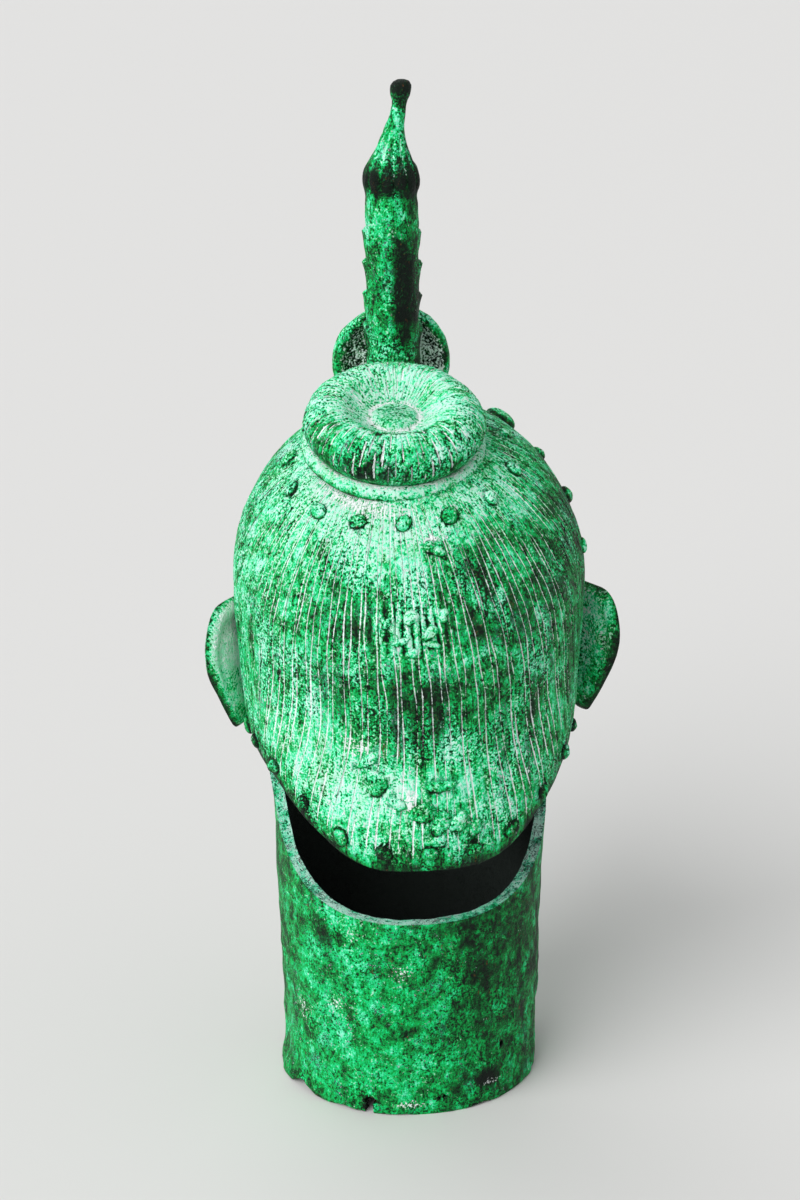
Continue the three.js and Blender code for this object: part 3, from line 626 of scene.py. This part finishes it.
def bun(turn, row):
    radius, rise = np.array(BUN_PROFILE, float)[row].T
    angle, crease, ridge = bun_crease(turn, row)
    depth = BUN_RIDGE_RISE * ridge - BUN_FURROW_DEPTH * crease
    rise = rise - LIP_DROP * bun_lip(angle, radius)
    outward = ease(33, 43, radius)
    radius = radius + depth * outward
    rise = rise + depth * (1 - outward)
    points = np.stack([radius * np.cos(angle), radius * np.sin(angle), rise], -1)
    return stood_on(points, BUN_CENTRE, BUN_AXIS)


def bun_paint(turn, row):
    radius, rise = np.array(BUN_PROFILE, float)[row].T
    angle, crease, ridge = bun_crease(turn, row)
    # The bun is painted lighter towards its top, as painted light from above.
    tone = 0.1 + 0.5 * ease(-6, 6, rise) * (1 - 0.3 * ease(26, 36, radius)) + 0.3 * (1 - ease(16, 26, radius))
    # The dark line under the front lip is painted shade.
    tone = tone - 2.8 * bun_lip(angle, radius) + 0.5 * ridge - 0.2 * ease(28, 35, radius)
    boss = 1 - ease(8, 9.6, radius)
    # The low outer roll is painted lighter, as painted light that lifts the shade of its overhang.
    tone = tone - 0.45 * boss + 0.5 * hill(rise + 7, 3) * (radius > 38)
    worn_side = hill(np.degrees(angle) - 60, 38) + 0.4 * hill(np.degrees(angle) - 120, 20)
    tone = tone - 0.45 * worn_side * ease(27, 36, radius) * ease(-9, -3, rise)
    comb = np.stack([40 * np.cos(angle), 40 * np.sin(angle) + 300, 0.35 * (radius - rise)], -1)
    dusted = 0.42 * hill(radius - 12.2, 2.2) + 0.12 * hill(radius - 20, 6)
    return {"tone": tone, "furrow": np.maximum(0.9 * crease, dusted), "comb": comb}


pad = cast_skin("bun", BUN_FURROWS * 4, len(BUN_PROFILE) - 1, bun, bun_paint)
combine(pad, made_room(), "DIFFERENCE")
combine(head, pad, "UNION")
bpy.ops.mesh.primitive_torus_add(
    major_segments=120, minor_segments=14, major_radius=COLLAR_RADIUS, minor_radius=COLLAR_ROLL)
collar = bpy.context.object
ring = points_of(collar) - (0, 0, COLLAR_DROP)
on_top = (ring[:, 2] + COLLAR_DROP) / COLLAR_ROLL
# The collar's roll is painted pale on its top, as painted light, and dark low on its side, as painted shade.
set_points(collar, stood_on(ring, BUN_CENTRE, BUN_AXIS),
           tone=0.35 + 0.75 * ease(-0.5, 0.7, on_top) - 0.9 * hill(on_top + 0.7, 0.4),
           furrow=0.2 * ease(0.4, 1, on_top))
combine(head, collar, "UNION")

# Studs. Rounded bosses of wax pressed on before casting: a ring round the bun, a row along the border of
# the hair, and a few that stand alone. Each is a low dome, made once and set on the hair by its normal.
STUD_RADIUS, STUD_RISE = 4.2, 2.6
CROWN_STUDS, CROWN_STUD_RING, CROWN_STUD_SHIFT = 14, 54.5, -3.7
BORDER_STUDS, BORDER_STUD_INSET = 27, 4.0
LOOSE_STUDS = [(-128, 0.5, 1.7), (-112, 0.53, 1.0), (-96, 0.56, 1.2), (-84, 0.66, 0.8)]


def crown_spot(angle):
    """How far down a meridian the ring of studs lies."""
    centre = BUN_CENTRE + (CROWN_STUD_SHIFT, 0, 0)
    t = np.full_like(angle, 0.3)
    for _ in range(12):
        away = hair_point(angle, t) - centre
        away -= (away @ BUN_AXIS)[:, None] * BUN_AXIS
        t = t * CROWN_STUD_RING / np.linalg.norm(away, axis=1)
    return t


ring_angles = 2 * math.pi * np.arange(CROWN_STUDS) / CROWN_STUDS + 0.01
border_angles = 2 * math.pi * np.arange(BORDER_STUDS) / BORDER_STUDS
to_border = np.arccos(border_direction(border_angles) @ CROWN) * DOME_HALF_DEPTH
loose = np.array(LOOSE_STUDS)
stud_angles = np.concatenate([ring_angles, border_angles, np.radians(loose[:, 0])])
stud_t = np.concatenate([crown_spot(ring_angles), 1 - BORDER_STUD_INSET / to_border, loose[:, 1]])
stud_sizes = np.concatenate([np.ones(CROWN_STUDS + BORDER_STUDS), loose[:, 2]])
stud_points = hair_point(stud_angles, stud_t)
stud_normals = hair_normal(stud_angles, stud_t)
studs = []
for index, (point, normal, size) in enumerate(zip(stud_points, stud_normals, stud_sizes)):
    stud, dome = new_ball(20, 12)
    dome[:, 2] = np.sign(dome[:, 2]) * np.abs(dome[:, 2]) ** 0.85
    bent = 1 + 0.1 * np.sin(2 * np.arctan2(dome[:, 1], dome[:, 0]) + 1.9 * index)
    dome = dome * (STUD_RADIUS, STUD_RADIUS, STUD_RISE) * size * bent[:, None]
    dome = dome * (1 - 0.08 * math.sin(2.7 * index))
    over_rim = ease(0.15, 0.75, dome[:, 2] / STUD_RISE / size)
    mood = 0.3 * math.sin(3.3 * index) - 0.35 * (CROWN_STUDS <= index < CROWN_STUDS + BORDER_STUDS)
    set_points(stud, stood_on(dome, point, normal), tone=1.2 * over_rim - 0.85 + mood)
    studs.append(stud)
bpy.ops.object.select_all(action="DESELECT")
for stud in studs:
    stud.select_set(True)
bpy.context.view_layer.objects.active = studs[0]
bpy.ops.object.join()
combine(head, bpy.context.object, "UNION")

# Corrosion lumps. Swollen crusts of copper salts on the back of the hair, some round and some long, each
# given by degrees from the nape, t, half width, half length, rise and how far it is turned.
LUMPS = [
    (15, 0.9, 5.6, 6.4, 2.0, 20), (17.5, 0.875, 6.0, 3.0, 1.5, 15), (-4, 0.905, 7.0, 3.0, 2.4, 12),
    (9, 0.922, 3.0, 4.4, 1.3, 40), (-10, 0.555, 2.6, 3.0, 1.8, 0), (10, 0.57, 3.0, 3.0, 1.8, 0),
    (1.3, 0.555, 3.6, 3.8, 2.4, 30), (-4.4, 0.6, 4.4, 2.6, 2.0, 50), (5.5, 0.622, 5.2, 1.5, 1.7, 14),
    (-5, 0.632, 4.6, 1.4, 1.7, -20), (2, 0.655, 2.8, 2.2, 1.4, 0), (-12, 0.375, 4.6, 3.8, 1.5, 10),
    (-14, 0.39, 3.0, 2.6, 1.8, 0), (2, 0.933, 6.6, 4.6, 1.8, 15), (-3.5, 0.945, 4.6, 6.4, 1.6, -10),
    (-9, 0.945, 3.6, 6.0, 1.6, -14), (-2, 0.965, 5.0, 3.4, 1.4, 10), (-14, 0.955, 3.4, 4.6, 1.3, -20)]
for index, (degrees, t, half_width, half_length, rise, turned) in enumerate(LUMPS):
    lump, dome = new_ball(18, 10)
    around = np.arctan2(dome[:, 1], dome[:, 0])
    bent = 1 + 0.12 * np.sin(2 * around + 1.3 * index) + 0.09 * np.sin(3 * around + 2.1 * index)
    dome = dome * (half_width, half_length, rise) * bent[:, None]
    c, s = math.cos(math.radians(turned)), math.sin(math.radians(turned))
    dome[:, :2] = dome[:, :2] @ [[c, s], [-s, c]]
    spot = np.array([math.radians(degrees)])
    over_rim = ease(0.1, 0.8, dome[:, 2] / rise)
    # The lower flank of each lump is painted darker, as painted shade under it.
    below = ease(0.3, 0.9, dome[:, 1] / half_length) * (1 - ease(0.5, 0.9, dome[:, 2] / rise))
    tone = 0.3 * over_rim + 0.3 - 1.0 * below + 0.25 * math.sin(2.2 * index) + 0.3 * (0.5 < t < 0.67)
    centre, normal = hair_point(spot, np.array([t]))[0], hair_normal(spot, np.array([t]))[0]
    set_points(lump, stood_on(dome, centre, normal), tone=tone)
    combine(head, lump, "UNION")

# Crest. A rod stands over the forehead, scaled in tiers on its front and plain behind, and ends in a fluted
# onion-shaped bulb, a thin stem and a knob. It is one turned skin whose rows follow the rod's profile.
ROD_X, ROD_Y, ROD_LOW, ROD_RADIUS, ROD_HIGH = -1.0, -62.0, 318.0, 13.4, 452.0
SCALE_TIERS, SCALE_PITCH, SCALE_RISE, SCALE_TIP_DROP = 4, 16.0, 2.2, 2.2
FINIAL_TOP, TIP_X = 508.0, -6.3
ROD_PROFILE = [
    (ROD_LOW, ROD_RADIUS + 1.4), (345, ROD_RADIUS + 1), (362, ROD_RADIUS + 0.3), (378, ROD_RADIUS),
    (432, ROD_RADIUS - 0.2), (447, ROD_RADIUS - 0.7), (451, 12.4), (453.5, 12.9), (456.5, 14), (460, 14.4),
    (464.5, 13.4), (470, 10.4), (477, 7), (485, 4.9), (494, 3.8), (498, 3.9), (500.5, 4.8), (503, 5.2),
    (505.5, 5), (507.2, 3.9)]
ROD_ROWS = rows_through([
    (ROD_LOW, 0), (366, 8), (440, 74), (451, 6), (484, 24), (498, 6), (507.2, 9), (FINIAL_TOP, 1)])
FLUTES, FLUTE_DEPTH, TIP_RADIUS = 12, 0.1, 2.2


def crest(turn, row):
    height = ROD_ROWS[np.clip(row - 1, 0, len(ROD_ROWS) - 1)]
    angle = 2 * math.pi * turn
    forward = ease(-0.35, 0.1, -np.sin(angle))
    first = ROD_HIGH - (SCALE_TIERS + 1) * SCALE_PITCH + 0.5
    lapped = height - first + SCALE_TIP_DROP * np.abs(np.sin(2.5 * angle)) - SCALE_TIP_DROP / 2
    tier = np.clip(np.floor(lapped / SCALE_PITCH), 0, SCALE_TIERS - 1)
    up = lapped - tier * SCALE_PITCH
    scale = SCALE_RISE * np.clip(up / 13, 0, 1) ** 1.3 * (1 - ease(13, 14.2, up)) * (up > 0)
    reach = along(ROD_PROFILE, height) + scale * forward
    fluted = ease(453, 458, height) * (1 - ease(478, 488, height))
    reach = reach * (1 - FLUTE_DEPTH * fluted * (0.5 + 0.5 * np.cos(FLUTES * angle)) ** 3)
    reach = np.where(height >= FINIAL_TOP, TIP_RADIUS, reach)
    shift = ROD_X + (TIP_X - ROD_X) * ease(468, FINIAL_TOP, height)
    points = np.stack([shift + reach * np.cos(angle), ROD_Y + reach * np.sin(angle), height], -1)
    points[row == 0] = (TIP_X, ROD_Y, FINIAL_TOP)
    points[row > len(ROD_ROWS)] = (ROD_X, ROD_Y, ROD_LOW)
    return points


def crest_paint(turn, row):
    """Bright green on the lit left of the rod's back, as the camera sees it, as painted light; nearly black
    on its right, as painted shade; and nearly black under the bulb."""
    height = ROD_ROWS[np.clip(row - 1, 0, len(ROD_ROWS) - 1)]
    degrees = 360 * turn
    tone = -0.16 + 0.12 * hill(degrees - 50, 45) - 1.5 * hill(degrees - 112, 25) * hill(height - 405, 28)
    tone += 0.9 * hill(height - 352, 10) - 1.3 * hill(height - 459, 5.5) - 1.6 * hill(height - FINIAL_TOP, 8)
    tone += 0.35 * hill(height - 440, 7) - 0.35 * hill(degrees - 165, 30)
    fluted = ease(453, 458, height) * (1 - ease(478, 488, height))
    tone -= 0.5 * fluted * hill(height - 464, 7)
    flute = fluted * (0.5 + 0.5 * np.cos(FLUTES * 2 * math.pi * turn)) ** 3
    return {"tone": tone + 0.9 * flute, "furrow": 0.2 * flute}


rod = cast_skin("crest_rod", 72, len(ROD_ROWS) + 1, crest, crest_paint)
combine(rod, made_room(), "DIFFERENCE")
combine(head, rod, "UNION")

# Rosette. A disc in front of the rod: ringed and petalled on its face, dished behind with a rolled rim, and
# carried on the rod and the hair by a short web of metal.
ROSETTE_CENTRE = np.array([-1.5, -78.0, 362.0])
ROSETTE_RADIUS = 30.5
R = ROSETTE_RADIUS
ROSETTE_PROFILE = [
    (0, 8.5), (4, 8.2), (6.4, 7.2), (7.4, 5.6), (8.6, 4.6), (10.5, 4.4), (R - 18.5, 3.1), (R - 16.5, 3.6),
    (R - 13, 4.7), (R - 10, 4.2), (R - 7.5, 2.6), (R - 6, 2.3), (R - 4, 3), (R - 2, 3.2), (R - 0.6, 2),
    (R, 0), (R - 0.3, -2.5), (R - 1.4, -4.4), (R - 3.4, -5.1), (R - 5, -4.6), (R - 6.4, -3.2), (R - 9, -2),
    (12, -1.6), (0, -1.5)]
PETALS, PETAL_RISE = 24, 1.5
ROSETTE_AXIS = Vector((0, -1, 0.06)).normalized()
WEB_SIZE, WEB_SHIFT = (13, 22, 40), (0, 9, -20)


def rosette(turn, row):
    """The first rows are its face, from the boss in the middle out to the rim, and the last its back."""
    radius, rise = np.array(ROSETTE_PROFILE, float)[row].T
    angle = 2 * math.pi * turn
    petal = ease(9, 12, radius) * (1 - ease(R - 8, R - 6, radius)) * (row < 12)
    rise = rise + PETAL_RISE * petal * (np.abs(np.cos(PETALS / 2 * angle)) - 0.5)
    points = np.stack([radius * np.cos(angle), radius * np.sin(angle), rise], -1)
    return stood_on(points, ROSETTE_CENTRE, ROSETTE_AXIS)


def rosette_paint(turn, row):
    """Petals pale with dark lines between them, and the dish behind darkened as painted shade in its hollow
    and dusted with chalk.
    """
    behind = row > 15
    rim = hill(np.array(ROSETTE_PROFILE, float)[row][:, 0] - R, 3)
    chalky = 0.5 - 0.5 * np.cos(2 * math.pi * turn)
    dished = behind * (1 - rim)
    petal = (np.abs(np.cos(math.pi * PETALS * turn)) - 0.4) * (1 - behind)
    return {"tone": 0.1 * rim - 0.55 * dished + 0.7 * petal, "furrow": dished * (0.35 + 0.08 * chalky)}


combine(head, cast_skin("rosette", 144, len(ROSETTE_PROFILE) - 1, rosette, rosette_paint), "UNION")
bpy.ops.mesh.primitive_cube_add(size=1)
web = bpy.context.object
bpy.ops.object.mode_set(mode="EDIT")
bpy.ops.mesh.bevel(offset=0.12, segments=4)
bpy.ops.object.mode_set(mode="OBJECT")
block = points_of(web) * WEB_SIZE
set_points(web, block + ROSETTE_CENTRE + WEB_SHIFT)
combine(head, web, "UNION")

# Ears. Each is a curved plate standing off the head, with a rolled rim and a hollow in front and a smooth
# back, joined to the hair along its inner edge. One skin, bent by the ear's own outline, makes either side.
EAR_TOP, EAR_LOW, EAR_REACH, EAR_THICKNESS = 261.0, 192.0, 43.5, 5.5
EAR_LOBE_WIDTH, EAR_FULLNESS, EAR_SLANT, EAR_BEND = 0.48, 0.55, 1.6, 3.0
EAR_ANGLE = math.radians(35)
EAR_SHIFT, EAR_ROOT_X, EAR_ROOT_Y = -3.0, 80.0, -24.0
EAR_ROWS, RIM_RISE, HOLLOW_DEPTH, FOLD_RISE = 28, 3.4, 3.2, 2.0


def ear(side):
    def place(turn, row):
        """The first rows are its front, from the middle out to the edge, and the last its back."""
        angle = -2 * math.pi * turn * side
        front = row <= EAR_ROWS / 2
        r = np.where(front, row, EAR_ROWS - row) / (EAR_ROWS / 2)
        level = np.cos(angle)
        taper = EAR_LOBE_WIDTH + (1 - EAR_LOBE_WIDTH) * ease(-1.1, 0.5, level)
        outline = np.sign(np.sin(angle)) * np.abs(np.sin(angle)) ** EAR_FULLNESS * taper
        p = EAR_REACH / 2 * (1 + r * outline) - EAR_SLANT * (1 - level) * r
        q = (EAR_TOP + EAR_LOW) / 2 + r * (EAR_TOP - EAR_LOW) / 2 * level
        helix = 0.35 + 0.65 * ease(-0.85, -0.2, level)
        fold = ease(-0.75, -0.1, np.cos(2 * math.pi * turn) + 0.3) * hill(r - 0.55, 0.08)
        rim = RIM_RISE * helix * hill(r - 0.85, 0.13) - HOLLOW_DEPTH * hill(r, 0.42) + FOLD_RISE * fold
        groove = 1.5 * hill(r - 0.68, 0.13) * ease(-0.5, 0.2, level)
        back = -EAR_THICKNESS * 1.1 * np.sqrt(np.maximum(0, 1 - r * r)) - 0.3 * rim + groove
        bend = EAR_BEND * r * ease(0, 1, -level)
        out = np.where(front, rim, back) - bend
        c, s = math.cos(EAR_ANGLE), math.sin(EAR_ANGLE)
        x = EAR_SHIFT + side * (EAR_ROOT_X + p * s + out * c)
        return np.stack([x, EAR_ROOT_Y + p * c - out * s, q], -1)
    return place


def ear_paint(side):
    def paint(turn, row):
        """Paler above and on the back, most of all on the head's left, as painted light, which the left ear's
        extra chalk helps; dark on the thin outer edge.
        """
        up = ease(-0.4, 0.6, np.cos(2 * math.pi * turn))
        edge = hill(row - EAR_ROWS / 2, 1.1)
        behind = row > EAR_ROWS / 2
        left = side > 0
        return {"tone": 0.25 + 0.4 * up + 1.1 * left * behind * (0.5 + up) - 1.2 * edge,
                "furrow": (0.26 + 0.12 * left) * behind * up}
    return paint


for side in (1, -1):
    combine(head, cast_skin("ear", 56, EAR_ROWS, ear(side), ear_paint(side)), "UNION")

# A few flakes that the cuts leave loose inside the walls are taken off, so that the casting is one skin.
bpy.ops.object.select_all(action="DESELECT")
bpy.context.view_layer.objects.active = head
bpy.ops.object.mode_set(mode="EDIT")
bpy.ops.mesh.select_all(action="DESELECT")
bpy.ops.object.mode_set(mode="OBJECT")
max(head.data.vertices, key=lambda vertex: vertex.co.z).select = True
bpy.ops.object.mode_set(mode="EDIT")
bpy.ops.mesh.select_linked()
bpy.ops.mesh.select_all(action="INVERT")
bpy.ops.mesh.delete(type="VERT")
bpy.ops.object.mode_set(mode="OBJECT")

# Casting skin. The bronze came out of its mould rough, and burial has eaten and crusted it, so the whole
# surface is a little uneven. Corners and hollows that hold chalk are found by looking out from the surface.
SKIN_ROUGHNESS, NECK_ROUGHNESS = 0.5, 0.95
CREVICE_REACH, LOOKS, LOOK_LIFT = 7.0, 7, 0.4
SPREAD_STEPS = 4


def values_of(mesh, name, width=1):
    kind = "vector" if width == 3 else "value"
    found = np.empty(len(mesh.vertices) * width)
    mesh.attributes[name].data.foreach_get(kind, found)
    return found.reshape(-1, width)


# Vertices that a cut made hold mixed values, so each takes the mean of the neighbours that know theirs.
mesh = head.data
ends = np.empty(len(mesh.edges) * 2, int)
mesh.edges.foreach_get("vertices", ends)
ends = np.concatenate([ends.reshape(-1, 2), ends.reshape(-1, 2)[:, ::-1]])
own = values_of(mesh, "own")[:, 0]
for name, width in (("comb", 3), ("tone", 1), ("furrow", 1)):
    found = values_of(mesh, name, width)
    known = own > 0.99
    for _ in range(SPREAD_STEPS):
        count = np.bincount(ends[:, 0], known[ends[:, 1]], len(own))
        total = np.stack([np.bincount(ends[:, 0], found[ends[:, 1], k] * known[ends[:, 1]], len(own))
                          for k in range(width)], -1)
        filled = ~known & (count > 0)
        found[filled] = total[filled] / count[filled, None]
        known = known | filled
    mesh.attributes[name].data.foreach_set("vector" if width == 3 else "value", found.ravel())
co = points_of(head)
out = np.array([v.normal for v in mesh.vertices])
lift = np.array([noise.fractal(Vector(p) * 55, 1.0, 2.0, 3) for p in co])
dents = np.array([noise.fractal(Vector((p[0], p[1], 0.7 * p[2])) * 120, 0.9, 2.0, 2) for p in co])
on_foot = co[:, 2] < 0.0005
up = co[:, 2]
dented = 1 - 0.7 * ease(0.08, 0.105, up) - 0.3 * ease(0.14, 0.17, up) + 0.7 * ease(0.37, 0.38, up)
lift = lift * SKIN_ROUGHNESS + dents * NECK_ROUGHNESS * dented
lift = np.where(on_foot, 0, lift * MM)
co = np.clip(co + out * lift[:, None], cad_low, cad_high)
mesh.vertices.foreach_set("co", co.ravel())
mesh.update()

tree = BVHTree.FromPolygons([Vector(p) for p in co], [tuple(f.vertices) for f in mesh.polygons])
golden = math.pi * (3 - math.sqrt(5))
looks = [Vector((math.sqrt(1 - z * z) * math.cos(golden * k), math.sqrt(1 - z * z) * math.sin(golden * k), z))
         for k, z in enumerate(0.15 + 0.8 * (np.arange(LOOKS) + 0.5) / LOOKS)]
crevice = np.zeros(len(co))
for index, (point, normal) in enumerate(zip(co, out)):
    turn_out = Vector((0, 0, 1)).rotation_difference(Vector(normal))
    outside = Vector(point + normal * (LOOK_LIFT * MM))
    for look in looks:
        hit, _, _, distance = tree.ray_cast(outside, turn_out @ look, CREVICE_REACH * MM)
        if hit is not None:
            crevice[index] += 1 - distance / (CREVICE_REACH * MM)
mesh.attributes.new("crevice", "FLOAT", "POINT").data.foreach_set("value", crevice / LOOKS)

# Patina. Green copper salts lie over the bronze in layers: dark green at the bottom, emerald over it and
# pale mint on top, with black and brown corrosion breaking through and white chalk left in the furrows.
# Painted light and shade are laid in as well: the tone that the pieces carry lightens lit places and
# darkens shaded ones, faces turned up are painted lighter, and the inside of the hollows is painted dark
# grey.


class Layer:
    """A value or colour in the patina's nodes. Sums and products of values add Math nodes."""

    def __init__(self, tree, socket=None):
        self.tree, self.socket = tree, socket

    def add(self, kind, settings, sockets, output=0):
        """Adds a node, its settings first, and links or sets its sockets. Gives one of its outputs."""
        node = self.tree.nodes.new(kind)
        for name, value in settings.items():
            setattr(node, name, value)
        for name, value in sockets.items():
            if isinstance(value, Layer):
                self.tree.links.new(value.socket, node.inputs[name])
            else:
                node.inputs[name].default_value = value
        return Layer(self.tree, node.outputs[output])

    def maths(self, operation, first, second):
        return self.add("ShaderNodeMath", {"operation": operation}, {0: first, 1: second})

    def __add__(self, other):
        return self.maths("ADD", self, other)

    def __sub__(self, other):
        return self.maths("SUBTRACT", self, other)

    def __rsub__(self, other):
        return self.maths("SUBTRACT", other, self)

    def __mul__(self, other):
        return self.maths("MULTIPLY", self, other)

    __radd__, __rmul__ = __add__, __mul__

    def rise(self, low, high):
        """Goes smoothly from 0 at a low value to 1 at a high one."""
        return self.add("ShaderNodeMapRange", {"interpolation_type": "SMOOTHSTEP"},
                        {"Value": self, "From Min": low, "From Max": high})

    def under(self, seen, mask):
        """This colour with another, given as it is seen, laid over it where a mask lets it."""
        return self.add("ShaderNodeMix", {"data_type": "RGBA"}, {0: mask, 6: self, 7: srgb(*seen)}, 2)


def srgb(red, green, blue):
    """A colour as seen, 0 to 255, as the linear one that a shader takes."""
    return tuple(((c / 255 + 0.055) / 1.055) ** 2.4 for c in (red, green, blue)) + (1.0,)


patina = bpy.data.materials.new("bronze_patina")
patina.use_nodes = True
shader = patina.node_tree.nodes["Principled BSDF"]
nodes = Layer(patina.node_tree)


def surface(name, output):
    return nodes.add("ShaderNodeAttribute", {"attribute_name": name}, {}, output)


def cloud(coordinates, scale, detail, roughness=0.6, distortion=0.0):
    return nodes.add("ShaderNodeTexNoise", {}, {
        "Vector": coordinates, "Scale": scale, "Detail": detail, "Roughness": roughness,
        "Distortion": distortion})


place = nodes.add("ShaderNodeTexCoord", {}, {}, 3)
comb = surface("comb", 1)
tone, furrow, inner, bare_edge = (surface(name, 2) for name in ("tone", "furrow", "inside", "cut"))
corner = surface("crevice", 2)
wide = cloud(place, 75, 4, 0.55)
rough = cloud(place, 38, 3, 0.5).rise(0.42, 0.58)
streaks = cloud(comb, 0.16, 6, 0.68)
fine_streaks = cloud(comb, 0.75, 4, 0.65)
grit = cloud(place, 900, 3, 0.6)
crust = cloud(place, 260, 5, 0.62, 0.6)
blotches = cloud(comb, 0.09, 5, 0.7, 0.4)
facing = nodes.add("ShaderNodeNewGeometry", {}, {}, 1)
upward = nodes.add("ShaderNodeSeparateXYZ", {}, {0: facing}, 2)
toward_nape = nodes.add("ShaderNodeSeparateXYZ", {}, {0: place}, 1)
height = nodes.add("ShaderNodeSeparateXYZ", {}, {0: place}, 2)
# The patina is lively on the back of the head and calmer on the face, and its spots differ on the hair.
lively = 0.4 + 0.6 * (toward_nape + 0.03 * height.rise(0.32, 0.36)).rise(-0.06, -0.02)
hairy = height.rise(0.14, 0.17)

COLOURS = [(0.0, (4, 16, 10)), (0.2, (3, 50, 22)), (0.36, (0, 114, 48)), (0.5, (0, 178, 80)),
           (0.64, (14, 220, 132)), (0.8, (112, 248, 198)), (1.0, (204, 254, 236))]
pitting = (0.45 + 0.8 * rough) * (0.45 + 0.8 * hairy)
uneven = (0.75 * (wide - 0.5) + 1.0 * (streaks - 0.5) + 0.9 * (fine_streaks - 0.5) + 0.5 * (crust - 0.5)
          + 1.2 * pitting * (grit - 0.5))
# Faces turned up are painted lighter, as painted light from above.
lightness = 0.5 + 0.26 * tone + lively * (1 + 0.25 * hairy) * uneven + 0.12 * upward + 0.3 * bare_edge
ramp = nodes.add("ShaderNodeValToRGB", {}, {"Fac": lightness})
stops = ramp.socket.node.color_ramp.elements
while len(stops) < len(COLOURS):
    stops.new(0.5)
for stop, (position, colour) in zip(stops, COLOURS):
    stop.position = position
    stop.color = srgb(*colour)
pitted = 0.5 * (crust + fine_streaks) + 0.8 * (grit - 0.5) + 0.09 * tone - 0.05 * rough - 0.02 * hairy
pits = lively * pitted.rise(0.4, 0.35)
dark = (blotches + 0.8 * (grit - 0.5) + 0.9 * (fine_streaks - 0.5) - 0.14 * tone).rise(0.6, 0.66)
brown = (cloud(comb, 0.4, 4, 0.7) + 0.5 * (grit - 0.5) + 0.25 * (blotches - 0.5)).rise(0.67, 0.71)
speckle = (grit + 0.7 * (crust - 0.5) + 0.16 * tone + 0.06 * upward + 0.04 * hairy).rise(0.68, 0.74)
dashes = (fine_streaks + 0.3 * (grit - 0.5) + 0.06 * tone).rise(0.67, 0.72)
broken = 2.2 * (fine_streaks - 0.5) + 1.5 * (grit - 0.5) + 1.6 * (streaks - 0.5)
chalk = (furrow * (1.3 + broken) + 0.8 * lively * corner * upward.rise(-0.3, 0.6) * (0.65 + 1.8 * broken)
         + 0.7 * (grit - 0.5) + 0.1 * upward + 0.5 * dashes).rise(0.44, 0.6)

colour = ramp
# The dark grey laid where the inside mark is set is painted shade of the hollows.
for seen, mask in (
        ((12, 26, 18), 0.8 * pits), ((14, 24, 18), 0.85 * lively * dark), ((92, 58, 30), 0.8 * brown),
        ((206, 252, 230), 0.6 * speckle), ((246, 255, 252), chalk), ((58, 66, 62), inner)):
    colour = colour.under(seen, mask)
relief = lively * (0.8 * crust + 0.5 * grit + 0.7 * fine_streaks + 0.3 * streaks - 0.35 * pits) + 0.15 * chalk
bump = nodes.add("ShaderNodeBump", {}, {"Height": relief, "Strength": 0.9, "Distance": 0.0016})
roughness = 0.5 + 0.3 * chalk + 0.25 * (grit - 0.5)
for name, layer in (("Base Color", colour), ("Roughness", roughness), ("Normal", bump)):
    patina.node_tree.links.new(layer.socket, shader.inputs[name])
shader.inputs["Specular IOR Level"].default_value = 0.14
head.data.materials.clear()
head.data.materials.append(patina)
bpy.ops.object.select_all(action="DESELECT")
head.select_set(True)
bpy.context.view_layer.objects.active = head
bpy.ops.object.shade_smooth_by_angle(angle=math.radians(40))

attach(head, "root")
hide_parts("bronze_head")

# Floor and light. The head stands on a wide pale floor under an even pale sky. One large soft light comes
# from high on the camera's left, and two weak ones from its right and from the face's side.
bpy.ops.object.select_all(action="DESELECT")
bpy.ops.mesh.primitive_plane_add(size=60)
floor = bpy.context.object
floor.name = floor.data.name = "pale_floor"
floor_paint = bpy.data.materials.new("pale_floor_paint")
floor_paint.use_nodes = True
floor_shader = floor_paint.node_tree.nodes["Principled BSDF"]
floor_shader.inputs["Base Color"].default_value = (0.665, 0.66, 0.65, 1)
floor_shader.inputs["Roughness"].default_value = 0.8
floor_shader.inputs["Specular IOR Level"].default_value = 0.1
floor.data.materials.append(floor_paint)
sky = bpy.data.worlds.new("pale_sky")
sky.use_nodes = True
sky.node_tree.nodes["Background"].inputs["Color"].default_value = (0.98, 0.99, 1.0, 1)
sky.node_tree.nodes["Background"].inputs["Strength"].default_value = 0.45
bpy.context.scene.world = sky
for name, toward, softness, power in (
        ("soft_light_upper_left", (1.5, 1.3, 1.6), 50, 2.7), ("soft_light_right", (-1.6, 0.9, 0.9), 60, 0.1),
        ("soft_light_face_side", (0.6, -1.5, 1.5), 60, 0.7)):
    bpy.ops.object.light_add(type="SUN", location=toward)
    light = bpy.context.object
    light.name = name
    light.data.angle = math.radians(softness)
    light.data.energy = power
    light.rotation_euler = Vector(toward).to_track_quat("Z", "Y").to_euler()

# Camera. It looks down a little from behind the head and slightly from the head's own left, about 1.2
# metres away. Its lens and its small roll match the view that the head was modelled from.
CAMERA_PLACE = Vector((0.1199, 1.1239, 0.6853))
CAMERA_AIM = Vector((0.0062, 0.0115, 0.2592))
CAMERA_ROLL, CAMERA_LENS = math.radians(-0.6), 71.5
bpy.ops.object.camera_add(location=CAMERA_PLACE)
camera = bpy.context.object
aim = (CAMERA_AIM - CAMERA_PLACE).to_track_quat("-Z", "Y").to_matrix()
camera.rotation_euler = (aim @ Matrix.Rotation(CAMERA_ROLL, 3, "Z")).to_euler()
camera.data.lens = CAMERA_LENS
bpy.context.scene.camera = camera
bpy.context.scene.view_settings.view_transform = "Standard"
